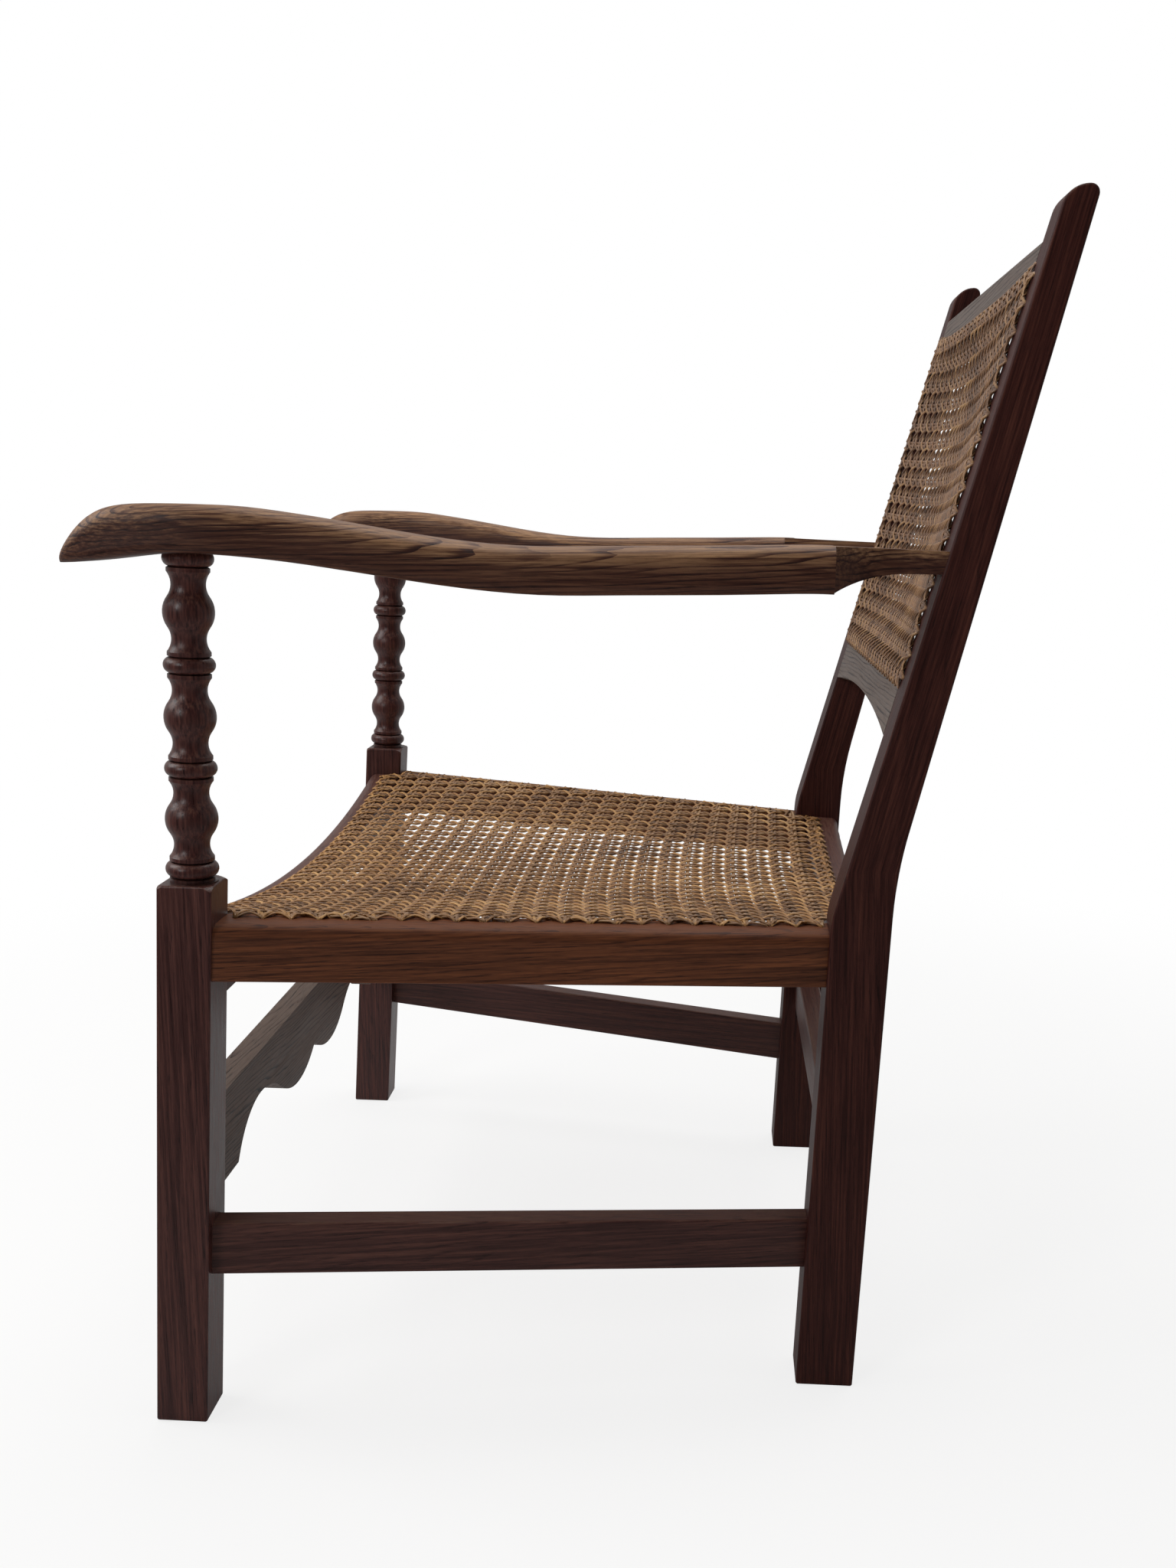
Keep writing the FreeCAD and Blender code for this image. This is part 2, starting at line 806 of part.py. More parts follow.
def lower_rail():
    """Lower rail of the back, with an arched lower edge whose ends run down the posts."""
    high = up_the_back(LOWER_RAIL_TOP)
    low = high - size("lower_rail_height")
    end_low = low - size("lower_rail_arch")
    outline = [
        segment((-POST_INNER, high), (POST_INNER, high)),
        segment((POST_INNER, high), (POST_INNER, end_low)),
        arc((POST_INNER, end_low), (0, low), (-POST_INNER, end_low)),
        segment((-POST_INNER, end_low), (-POST_INNER, high)),
    ]
    body, _ = cross_piece("lower_rail", outline, 0, "Sizes.back_rail_thickness", BACK_PLACE)
    return body


# Arms: a wide rest with a drooping nose, and a thin neck that meets the post

ARM_NOSE_Y = -size("arm_nose_reach")
ARM_CREST_Y = turned_axis(size("arm_seat_height"))
ARM_END_Y = ARM_NOSE_Y + size("arm_wide_length")
NECK_POST_Y = post_front(ARM_END_TOP)
NECK_END_X = POST_INNER + size("neck_inset")


def smooth_step(at, start, end):
    """Level-to-level blend from start (y, value) to end (y, value)."""
    share = min(1, max(0, (at - start[0]) / (end[0] - start[0])))
    return start[1] + (end[1] - start[1]) * share * share * (3 - 2 * share)


def swift_rise(at, start, end, power):
    """Rise from start (y, value), at once steep, to end (y, value), level."""
    share = min(1, max(0, (end[0] - at) / (end[0] - start[0])))
    return end[1] + (start[1] - end[1]) * share**power


def quarter_round(at, start, end):
    """Quarter-ellipse rise from start (y, value), steep, to end (y, value), level."""
    share = min(1, max(0, (end[0] - at) / (end[0] - start[0])))
    return start[1] + (end[1] - start[1]) * math.sqrt(1 - share * share)


def arm_top(at):
    """Height of the arm's upper side."""
    nose = (ARM_NOSE_Y, size("arm_seat_height") - size("arm_nose_drop") + size("arm_nose_thickness"))
    crest = (ARM_CREST_Y, size("arm_seat_height") + size("arm_front_thickness"))
    hollow = (ARM_CREST_Y + size("arm_hollow_distance"), ARM_END_TOP - size("arm_hollow_depth"))
    end = (ARM_END_Y, ARM_END_TOP)
    if at < crest[0]:
        return swift_rise(at, nose, crest, size("arm_nose_power"))
    if at < hollow[0]:
        return smooth_step(at, crest, hollow)
    return smooth_step(at, hollow, end)


def arm_under(at):
    """Height of the arm's underside."""
    nose = (ARM_NOSE_Y, size("arm_seat_height") - size("arm_nose_drop"))
    seat = (ARM_CREST_Y, size("arm_seat_height"))
    belly = (ARM_CREST_Y + size("arm_belly_distance"), ARM_END_UNDER - size("arm_belly_depth"))
    end = (ARM_END_Y, ARM_END_UNDER)
    if at < seat[0]:
        return smooth_step(at, nose, seat)
    if at < belly[0]:
        return smooth_step(at, seat, belly)
    return smooth_step(at, belly, end)


def arm_inner(at):
    """X of the arm's inner edge, straight from the front leg to the post."""
    front = LEG_AXIS_X - size("arm_front_width") / 2
    share = (at - ARM_CREST_Y) / (NECK_POST_Y - ARM_CREST_Y)
    return front + (NECK_END_X - front) * share


def arm_sides(at):
    """X of the arm's inner and outer edges."""
    if at < ARM_CREST_Y:
        nose = (ARM_NOSE_Y, size("arm_nose_width") / 2)
        half = quarter_round(at, nose, (ARM_CREST_Y, size("arm_front_width") / 2))
        return LEG_AXIS_X - half, LEG_AXIS_X + half
    share = (at - ARM_CREST_Y) / (ARM_END_Y - ARM_CREST_Y)
    width = size("arm_front_width") + (size("arm_end_width") - size("arm_front_width")) * share
    return arm_inner(at), arm_inner(at) + width


def arm_section(at):
    """Rounded section of the arm across one place along it."""
    inner, outer = arm_sides(at)
    top = arm_top(at)
    under = arm_under(at)
    limit = 0.45 * min(top - under, outer - inner)
    top_round = min(size("arm_top_round"), limit)
    under_round = min(size("arm_under_round"), limit)
    outline = rounded_outline(
        [
            (inner, under, under_round),
            (outer, under, under_round),
            (outer, top, top_round),
            (inner, top, top_round),
        ]
    )
    wire = Part.Wire([curve.toShape() for curve in outline])
    wire.Placement = Placement(Vector(0, at, 0), Rotation(Vector(1, 0, 0), 90))
    return wire


def arm_neck():
    """Thin neck behind the wide rest: a side view and a plan view cut from one block."""
    root = ARM_END_Y - size("neck_root")
    tip = NECK_POST_Y + size("post_depth") / 2
    under = NECK_TOP - size("neck_thickness")
    cove_end = ARM_END_Y + size("neck_cove")
    side_view = [
        segment((root, ARM_END_UNDER), (root, ARM_END_TOP)),
        segment((root, ARM_END_TOP), (tip, NECK_TOP)),
        segment((tip, NECK_TOP), (tip, under)),
        segment((tip, under), (cove_end, under)),
        level_arc((cove_end, under), (ARM_END_Y, ARM_END_UNDER)),
        segment((ARM_END_Y, ARM_END_UNDER), (root, ARM_END_UNDER)),
    ]
    _, end_outer = arm_sides(ARM_END_Y)
    step_x = end_outer - size("neck_step")
    neck_outer = NECK_END_X + size("neck_width")
    plan_view = [
        segment((root, arm_inner(root)), (tip, arm_inner(tip))),
        segment((tip, arm_inner(tip)), (tip, neck_outer)),
        segment((tip, neck_outer), (cove_end, neck_outer)),
        level_arc((cove_end, neck_outer), (ARM_END_Y, step_x)),
        segment((ARM_END_Y, step_x), (root, step_x)),
        segment((root, step_x), (root, arm_inner(root))),
    ]
    side_face = Part.Face(Part.Wire([curve.toShape() for curve in side_view]))
    side_face.Placement = Placement(Vector(), Rotation(Vector(1, 1, 1), 120))
    plan_face = Part.Face(Part.Wire([curve.toShape() for curve in plan_view]))
    plan_face.Placement = Placement(Vector(), Rotation(Vector(1, 1, 0), 180))
    block = side_face.extrude(Vector(HALF_FRONT, 0, 0))
    return block.common(plan_face.extrude(Vector(0, 0, size("post_height"))))


def arm(leg, post):
    """Left arm: wide rest and neck, seated on the leg's turned top and coped to the post."""
    nose_stations = 6
    rest_stations = 8
    places = [
        ARM_CREST_Y + (ARM_NOSE_Y - ARM_CREST_Y) * math.cos(math.pi / 2 * step / nose_stations)
        for step in range(nose_stations)
    ]
    places += [
        ARM_CREST_Y + (ARM_END_Y - ARM_CREST_Y) * step / rest_stations
        for step in range(rest_stations + 1)
    ]
    rest = Part.makeLoft([arm_section(at) for at in places], True, False)
    blank = doc.addObject("Part::Feature", "arm_blank")
    blank.Shape = rest.fuse(arm_neck()).removeSplitter()
    return cut("arm_fitted", blank, [leg, post])


# Cane panels, each a thin sheet that lies on its frame, with a coarse grid for the open weave


def spread(low, high):
    """Centres of the openings between two places, with a bar on either side of each."""
    pitch = size("cane_opening") + size("cane_bar")
    count = int((high - low - size("cane_bar")) / pitch)
    middle = (low + high) / 2
    return [middle + (number - (count - 1) / 2) * pitch for number in range(count)]


def openings(name, centres, place, lowest, depth_expression):
    """Square openings through a panel, at centres on the panel's own plane."""
    half = size("cane_opening") / 2
    boxes = []
    for number, (x, along) in enumerate(centres, start=1):
        box = doc.addObject("Part::Box", f"{name}_{number}")
        box.setExpression("Length", "Sizes.cane_opening")
        box.setExpression("Width", "Sizes.cane_opening")
        box.setExpression("Height", depth_expression)
        corner = Vector(x - half, along - half, lowest)
        box.Placement = place.multiply(Placement(corner, Rotation()))
        boxes.append(box)
    return gather(name, boxes)


def seat_section(along, dip):
    """Section of the seat cane: level on the side rails, dipping between them."""
    low = size("cane_lift")
    high = low + size("cane_thickness")
    span = side_rail_inner(along)
    edge = span + size("side_rail_width") - size("seat_cane_side_margin")
    outline = [
        segment((-edge, low), (-span, low)),
        arc((-span, low), (0, low - dip), (span, low)),
        segment((span, low), (edge, low)),
        segment((edge, low), (edge, high)),
        segment((edge, high), (span, high)),
        arc((span, high), (0, high - dip), (-span, high)),
        segment((-span, high), (-edge, high)),
        segment((-edge, high), (-edge, low)),
    ]
    wire = Part.Wire([curve.toShape() for curve in outline])
    wire.Placement = Placement(Vector(0, along, 0), Rotation(Vector(1, 0, 0), 90))
    return wire


def corner_room(name, inner_x, start, length):
    """Room for a leg or post beside the seat cane, on both sides."""
    gap = size("cane_side_clearance")
    reach = size("front_width")
    deep = size("front_dip") + size("cane_thickness")
    boxes = []
    for side, left in (("left", inner_x - gap), ("right", gap - inner_x - reach)):
        box = doc.addObject("Part::Box", f"{name}_{side}")
        box.setExpression("Length", "Sizes.front_width")
        box.Width = length
        box.setExpression("Height", "2 * (Sizes.front_dip + Sizes.cane_thickness)")
        box.Placement = SEAT_PLACE.multiply(Placement(Vector(left, start, -deep), Rotation()))
        boxes.append(box)
    return boxes


def seat_meshes():
    """Openings of the seat panel, between the side rails and short of the cross rails."""
    first = FRONT_RAIL_FACE + size("front_rail_thickness")
    half = size("cane_opening") / 2
    centres = []
    for along in spread(first, SEAT_LENGTH):
        span = side_rail_inner(along + half)
        centres += [(x, along) for x in spread(-span, span)]
    deep = size("front_dip") + size("cane_thickness")
    through = "2 * (Sizes.front_dip + Sizes.cane_thickness)"
    return openings("seat_meshes", centres, SEAT_PLACE, -deep, through)


def seat_cane():
    """Dished seat panel, notched round the leg blocks and the rear posts."""
    sheet_blank = doc.addObject("Part::Feature", "seat_cane_blank")
    sections = [
        seat_section(CANE_FRONT, size("front_dip")),
        seat_section(CANE_REAR, size("rear_dip")),
    ]
    sheet_blank.Shape = Part.makeLoft(sections, True, True)
    sheet_blank.Placement = SEAT_PLACE
    gap = size("cane_side_clearance")
    legs = corner_room("leg_room", LEG_INNER, gap - size("leg_section"), size("leg_section"))
    posts = corner_room("post_room", POST_INNER, SEAT_LENGTH - gap, size("post_depth"))
    return cut("seat_cane_open", sheet_blank, legs + posts + [seat_meshes()])


def back_cane():
    """Flat back panel over the front of the posts and the two back rails."""
    low = up_the_back(LOWER_RAIL_TOP) - size("back_cane_lower_margin")
    high = up_the_back(TOP_RAIL_TOP) - size("back_cane_top_margin")
    half = POST_INNER + size("back_cane_overlap")
    panel = doc.addObject("Part::Box", "back_cane_panel")
    panel.setExpression(
        "Length", "Sizes.rear_width - 2 * Sizes.post_width + 2 * Sizes.back_cane_overlap"
    )
    panel.setExpression("Width", "Sizes.cane_thickness")
    panel.Height = high - low
    forward = -size("cane_thickness") - size("cane_side_clearance")
    panel.Placement = BACK_PLACE.multiply(Placement(Vector(-half, forward, low), Rotation()))
    rail_low = up_the_back(TOP_RAIL_TOP) - size("top_rail_height")
    centres = [
        (x, along)
        for along in spread(up_the_back(LOWER_RAIL_TOP), rail_low)
        for x in spread(-POST_INNER, POST_INNER)
    ]
    upright = BACK_PLACE.multiply(Placement(Vector(), Rotation(Vector(1, 0, 0), 90)))
    behind = -size("cane_thickness")
    meshes = openings("back_meshes", centres, upright, behind, "3 * Sizes.cane_thickness")
    return cut("back_cane_open", panel, [meshes])


# Joints


def across(place, shift_y, shift_z):
    """Point of a tilted frame on the joint plane x, in chair space."""
    return place.multVec(Vector(0, shift_y, shift_z))


def add_joints():
    """Two dowels at each end of every rail and stretcher, one behind each arm."""
    sideways = Vector(1, 0, 0)
    rearward = Vector(0, 1, 0)
    spacing = size("dowel_spacing")

    def beside(place, joint_x, inward, middle_z, group, members):
        for shift in (-spacing / 2, spacing / 2):
            point = across(place, inward, middle_z + shift)
            dowel_joint(group, members, Vector(joint_x, point.y, point.z), sideways)

    def between(x, height, surface, group, members):
        for shift in (-spacing / 2, spacing / 2):
            z = height + shift
            dowel_joint(group, members, Vector(x, surface(z), z), rearward)

    upright = Placement()
    seat_group = "seat_rail_dowels"
    front_middle = -size("front_rail_height") / 2
    front_inward = FRONT_RAIL_FACE + size("front_dowel_inset")
    beside(SEAT_PLACE, LEG_INNER, front_inward, front_middle, seat_group, ("front_leg", "seat_rail_front"))
    rear_middle = -size("rear_rail_height") / 2
    rear_inward = REAR_RAIL_BACK - size("rear_dowel_inset")
    beside(SEAT_PLACE, POST_INNER, rear_inward, rear_middle, seat_group, ("rear_post", "seat_rail_rear"))

    rail_middle = size("side_rail_height") / 2
    half_width = size("side_rail_setback") + size("side_rail_width") / 2
    between(
        HALF_FRONT - half_width,
        SEAT_FRONT_HEIGHT - rail_middle,
        leg_back,
        seat_group,
        ("front_leg", "seat_rail"),
    )
    between(
        HALF_REAR - half_width,
        SEAT_REAR_HEIGHT - rail_middle,
        post_front,
        seat_group,
        ("rear_post", "seat_rail"),
    )

    group = "stretcher_dowels"
    bar_middle = size("stretcher_height") / 2
    half_bar = size("side_stretcher_setback") + size("side_stretcher_thickness") / 2
    between(
        HALF_FRONT - half_bar,
        size("side_stretcher_front_bottom") + bar_middle,
        leg_back,
        group,
        ("front_leg", "side_stretcher"),
    )
    between(
        HALF_REAR - half_bar,
        size("side_stretcher_rear_bottom") + bar_middle,
        post_front,
        group,
        ("rear_post", "side_stretcher"),
    )
    board_middle = size("front_stretcher_top") - size("front_stretcher_depth") / 2
    board_inward = FRONT_STRETCHER_FACE + size("front_stretcher_thickness") / 2
    beside(upright, LEG_INNER, board_inward, board_middle, group, ("front_leg", "front_stretcher"))
    bar_inward = rear_stretcher_front() + size("rear_stretcher_thickness") / 2
    low_bar = size("rear_stretcher_bottom") + bar_middle
    beside(upright, POST_INNER, bar_inward, low_bar, group, ("rear_post", "rear_stretcher"))

    group = "back_rail_dowels"
    half_back = size("back_rail_thickness") / 2
    top_middle = up_the_back(TOP_RAIL_TOP) - size("top_rail_height") / 2
    beside(BACK_PLACE, POST_INNER, half_back, top_middle, group, ("rear_post", "back_top_rail"))
    lower_middle = up_the_back(LOWER_RAIL_TOP) - size("lower_rail_height") / 2
    beside(BACK_PLACE, POST_INNER, half_back, lower_middle, group, ("rear_post", "back_lower_rail"))

    neck_height = NECK_TOP - size("neck_thickness") / 2
    neck_x = NECK_END_X + size("neck_width") / 2
    neck_point = Vector(neck_x, post_front(neck_height), neck_height)
    dowel_joint("arm_dowels", ("rear_post", "arm"), neck_point, rearward, "arm_dowel_diameter")


# Finished pieces


def bored(name, base):
    """Drill a piece for the dowels of its joints."""
    return cut(f"{name}_bored", base, [gather(f"{name}_bores", holes[name])])


def centred_place(foremost, rearmost):
    """Placement that centres the chair between its foremost and its rearmost piece."""
    front = foremost.Shape.optimalBoundingBox().YMin
    back = rearmost.Shape.optimalBoundingBox().YMax
    return Placement(Vector(0, -(front + back) / 2, 0), Rotation())


def finish(node, piece, place):
    """Name a finished piece and set it in its final place."""
    piece.Label = node
    piece.Placement = place.multiply(piece.Placement)
    return piece


def mirrored(node, piece):
    """Right-hand twin of a left-hand piece."""
    twin = doc.addObject("Part::Mirroring", node)
    twin.Source = piece
    twin.Normal = Vector(1, 0, 0)
    twin.Label = node
    return twin


def build():
    """Make every piece of the chair."""
    leg = front_leg()
    post = rear_post()
    rail = side_rail(leg, post)
    stretcher = side_stretcher(leg, post)
    arm_piece = arm(leg, post)
    add_joints()
    left_pieces = {
        "front_leg": leg,
        "rear_post": post,
        "seat_rail": rail,
        "side_stretcher": stretcher,
        "arm": arm_piece,
    }
    cross_pieces = {
        "seat_rail_front": front_rail(),
        "seat_rail_rear": rear_rail(),
        "front_stretcher": front_stretcher(),
        "rear_stretcher": rear_stretcher(),
        "back_top_rail": top_rail(),
        "back_lower_rail": lower_rail(),
    }
    place = centred_place(arm_piece, post)
    finished = []
    for name, piece in left_pieces.items():
        left = finish(f"{name}_left", bored(name, piece), place)
        finished += [left, mirrored(f"{name}_right", left)]
    for name, piece in cross_pieces.items():
        finished.append(finish(name, bored(name, piece), place))
    finished.append(finish("seat_cane", seat_cane(), place))
    finished.append(finish("back_cane", back_cane(), place))
    for group, bars in dowels.items():
        finished.append(finish(group, gather(group, bars), place))
    doc.recompute()
    return finished


def check(pieces):
    """Stop if any object failed or any piece is missing, broken or in unexpected parts."""
    for item in doc.Objects:
        if "Invalid" in item.State or "Error" in item.State:
            raise RuntimeError(f"{item.Name} failed: {item.State}")
    for piece in pieces:
        shape = piece.Shape
        if shape.isNull() or not shape.isValid():
            raise RuntimeError(f"{piece.Label} has no valid shape")
        expected = len(dowels.get(piece.Label, [None]))
        if len(shape.Solids) != expected:
            raise RuntimeError(f"{piece.Label} has {len(shape.Solids)} solids, not {expected}")


def write(pieces):
    """Write one file for each piece."""
    os.makedirs("parts", exist_ok=True)
    for piece in pieces:
        piece.Shape.exportStep(f"parts/{piece.Label}.step")
        box = piece.Shape.optimalBoundingBox()
        print(
            f"{piece.Label}: {piece.Shape.Volume / 1000:.1f} cm3, "
            f"x {box.XMin:.1f}..{box.XMax:.1f}, y {box.YMin:.1f}..{box.YMax:.1f}, "
            f"z {box.ZMin:.1f}..{box.ZMax:.1f}"
        )


chair = build()
check(chair)
write(chair)
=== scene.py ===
"""Open armchair of stained oak with a hand-caned seat and back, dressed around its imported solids."""

import logging
import math
import random
from dataclasses import dataclass, field
from enum import Enum

import bpy
from bpy.types import ID, Material, NodeOutputs, NodeSocket, NodeTree, Object
from mathutils import Matrix, Vector


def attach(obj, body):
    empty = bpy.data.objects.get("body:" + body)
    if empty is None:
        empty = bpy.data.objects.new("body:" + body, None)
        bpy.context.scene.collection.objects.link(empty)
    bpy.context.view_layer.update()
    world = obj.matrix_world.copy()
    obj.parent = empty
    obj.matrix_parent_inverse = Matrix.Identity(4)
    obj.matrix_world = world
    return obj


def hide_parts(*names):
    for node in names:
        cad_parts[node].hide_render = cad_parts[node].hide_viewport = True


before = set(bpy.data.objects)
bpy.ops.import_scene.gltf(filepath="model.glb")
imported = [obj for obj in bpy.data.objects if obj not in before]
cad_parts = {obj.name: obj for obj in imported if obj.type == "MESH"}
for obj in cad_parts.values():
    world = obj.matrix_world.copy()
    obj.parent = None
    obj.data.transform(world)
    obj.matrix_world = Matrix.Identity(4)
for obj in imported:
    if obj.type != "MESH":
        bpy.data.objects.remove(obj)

# Two numbers that belong together, such as from and to or length and width, and three such.
Span = tuple[float, float]
Triple = tuple[float, float, float]

LOG = logging.getLogger("armchair")
MM = 0.001
WHITE = (1.0, 1.0, 1.0, 1.0)
# Painted shade of grooves and corners, as dark as the old wax and dust in them.
SHADE_AND_GRIME = "#120a09"
# Rays of the nodes that look round a point, and the roughness of the finer noises.
RAYS = 6
NOISE_ROUGHNESS = 0.6
# Blender's wave texture repeats this many times in a length of tau.
WAVES_PER_TAU = 20.0
# The two ways on a flat panel of cane: across it, and along it to the rear or, in the back, upwards.
ACROSS = Vector((1.0, 0.0))
ALONG = Vector((0.0, 1.0))
# A line of the weave starts this far outside its panel and is followed this far, in metres.
OUTSIDE = 1.0
FOLLOWED = 3.0
# Two lines whose cross product is smaller don't meet.
PARALLEL = 1e-12


def linear(colour: str) -> tuple[float, float, float, float]:
    """Turn an sRGB hex colour into linear RGBA.

    Args:
        colour: Six hex digits with a leading hash.

    Returns:
        Red, green, blue and a full alpha, as Blender's sockets take them.
    """
    parts = [int(colour[i : i + 2], 16) / 255.0 for i in (1, 3, 5)]
    red, green, blue = (c / 12.92 if c <= 0.04045 else ((c + 0.055) / 1.055) ** 2.4 for c in parts)
    return red, green, blue, 1.0


def add(
    tree: NodeTree,
    kind: str,
    inputs: dict[int | str, object] | list[object] | None = None,
    stops: list[tuple[float, str]] | None = None,
    out: int | str = 0,
    **settings: object,
) -> NodeSocket | None:
    """Add one node to a tree with its settings, its colour stops and its links.

    Args:
        tree: The tree that gets the node.
        kind: Blender's name for the node type.
        inputs: Sockets to link or values to set, by input name or number, or from the first input on.
        stops: Places and hex colours of a colour ramp.
        out: Name or number of the output to hand back.
        **settings: Properties of the node itself.

    Returns:
        That output, or None where the node has none.
    """
    node = tree.nodes.new(kind)
    for name, value in settings.items():
        setattr(node, name, value)
    if stops:
        ramp = node.color_ramp
        while len(ramp.elements) < len(stops):
            ramp.elements.new(1.0)
        for element, (place, colour) in zip(ramp.elements, stops):
            element.position = place
            element.color = linear(colour)
    given = dict(enumerate(inputs)) if isinstance(inputs, list) else inputs or {}
    for key, value in given.items():
        if isinstance(value, NodeSocket):
            tree.links.new(value, node.inputs[key])
        else:
            node.inputs[key].default_value = value
    return node.outputs[out] if node.outputs else None


def new_material(name: str) -> tuple[Material, NodeTree]:
    """Make an empty node material.

    Args:
        name: The material's name.

    Returns:
        The material and its cleared node tree.
    """
    material = bpy.data.materials.new(name)
    material.use_nodes = True
    material.node_tree.nodes.clear()
    return material, material.node_tree


def new_object(name: str, data: ID) -> Object:
    """Make an object and put it into the scene.

    Args:
        name: The object's name.
        data: Its mesh, light or camera.

    Returns:
        The new object.
    """
    made = bpy.data.objects.new(name, data)
    bpy.context.scene.collection.objects.link(made)
    return made


def stretched(length: float, width: float) -> Triple:
    """Scale for a mark of this length along the grain and width across it, both in millimetres."""
    return 1.0 / (length * MM), 1.0 / (width * MM), 1.0 / (width * MM)


class Grain(Enum):
    """How the fibres of a piece run, as the turn in degrees that lays them along X."""

    UPRIGHT = (0.0, 90.0, 0.0)
    # The one degree only makes this a choice of its own beside UPRIGHT.
    BENT_UPRIGHT = (0.0, 90.0, 1.0)
    CROSSWAYS = (0.0, 0.0, 0.0)
    LEFT_SIDE = (0.0, 0.0, -101.5)
    RIGHT_SIDE = (0.0, 0.0, -78.5)
    LEFT_ARM = (0.0, 0.0, -98.8)
    RIGHT_ARM = (0.0, 0.0, -81.2)


@dataclass(frozen=True)
class OakFinish:
    """Oak, sawn and planed, stained and waxed: dark open pores in ring bands, paler where it is handled,
    and paler on upward faces and rounded top edges as painted highlight too.

    Rings, reaches, depths and marks are in millimetres; a mark is its length along the grain and its width.
    """

    name: str
    dark: str
    body: str
    light: str
    worn_and_highlit: str
    # A year's ring, and how much of the tone the rings give beside the fibres.
    ring: float = 4.5
    figure: float = 0.5
    # How much stain is gone and how much painted highlight is laid on, from which upward slope to which,
    # and how far this reaches over an edge.
    wear_and_highlight: float = 0.0
    wear_and_highlight_from: float = 0.5
    wear_and_highlight_to: float = 0.95
    wear_and_highlight_reach: float = 2.0
    wear_and_highlight_streaks: float = 0.3
    roughness: Span = (0.42, 0.58)
    shine: float = 0.45
    ior: float = 1.42
    relief_strength: float = 0.35
    relief_depth: float = 0.25
    # How near another face has to be for painted shade and grime, how open such a place is, and how dark it
    # gets.
    shade_and_grime_reach: float = 9.0
    shade_and_grime_span: Span = (0.25, 0.8)
    shade_and_grime_depth: float = 0.8
    # The pith lies outside the plank, and the plank was sawn a little askew to it, in radians.
    pith: Triple = (0.0, 47.0, 71.0)
    askew: Triple = (0.0, 0.05, 0.035)
    # Where a rear post bends, in metres, and how far it leans for each metre above.
    bend_height: float = 0.41
    bend_slope: float = 0.264
    broad_mark: Span = (210.0, 42.0)
    broad_share: float = 0.3
    # Fibre streaks 1.7 mm wide; the finer ones of real oak wouldn't show at this distance.
    fibre_mark: Span = (85.0, 1.7)
    fibre_span: Span = (0.25, 0.75)
    # Pores are dark dashes, drawn 0.9 mm wide where real ones are 0.3 mm, so that they show.
    pore_mark: Span = (13.0, 0.9)
    pore_span: Span = (0.52, 0.66)
    # How strong the pores are in late and in early wood, and how much of a ring is early wood.
    pore_crowding: Span = (0.25, 0.85)
    early_share: float = 0.42
    patch_mark: Span = (90.0, 9.0)
    patch_span: Span = (0.35, 0.62)
    patch_low: float = 0.2
    # Length and width of each wander of the rings, and how far it goes.
    sways: tuple[Triple, ...] = ((320.0, 30.0, 24.0), (70.0, 6.0, 2.2))
    # Most of a streaky tone lies in this span; the colours stand at these places of it.
    tone_span: Span = (0.3, 0.7)
    stain_stops: Triple = (0.2, 0.5, 0.82)
    bare_and_highlit_stops: Triple = (0.2, 0.46, 0.8)

    def material(self, grain: Grain) -> Material:
        """Make the finish for a piece whose fibres run one way.

        Args:
            grain: The way the fibres run.

        Returns:
            The finished material.
        """
        material, tree = new_material(f"{self.name}_{grain.name.lower()}")
        place = add(tree, "ShaderNodeTexCoord", out="Object")
        if grain is Grain.BENT_UPRIGHT:
            place = self.straightened(tree, place)
        turn = [math.radians(angle) for angle in grain.value]
        place = add(tree, "ShaderNodeMapping", {"Vector": place, "Rotation": turn})
        broad = self.streaked(tree, place, self.broad_mark, 2.0)
        streaks = self.streaked(tree, place, self.fibre_mark, 4.0)
        fibre = add(tree, "ShaderNodeMapRange", [streaks, *self.fibre_span, 0.0, 1.0])
        porous = self.early_wood(tree, place)
        pores = self.streaked(tree, place, self.pore_mark, 1.0)
        pores = add(tree, "ShaderNodeMapRange", [pores, *self.pore_span, 0.0, 1.0])
        crowded = add(tree, "ShaderNodeMapRange", [porous, 0.0, 1.0, *self.pore_crowding])
        pores = add(tree, "ShaderNodeMath", [pores, crowded], operation="MULTIPLY")
        late = add(tree, "ShaderNodeMath", [1.0, porous], operation="SUBTRACT")
        tone = add(tree, "ShaderNodeMix", {0: self.figure, 2: fibre, 3: late}, data_type="FLOAT")
        tone = add(tree, "ShaderNodeMix", {0: self.broad_share, 2: tone, 3: broad}, data_type="FLOAT")
        colour = add(
            tree, "ShaderNodeValToRGB", {"Fac": tone},
            stops=list(zip(self.stain_stops, (self.dark, self.body, self.light))), out="Color",
        )
        colour = self.worn_and_highlit_over(tree, colour, tone)
        colour = add(
            tree, "ShaderNodeMix", {0: pores, 6: colour, 7: linear(self.dark)}, data_type="RGBA", out=2,
        )
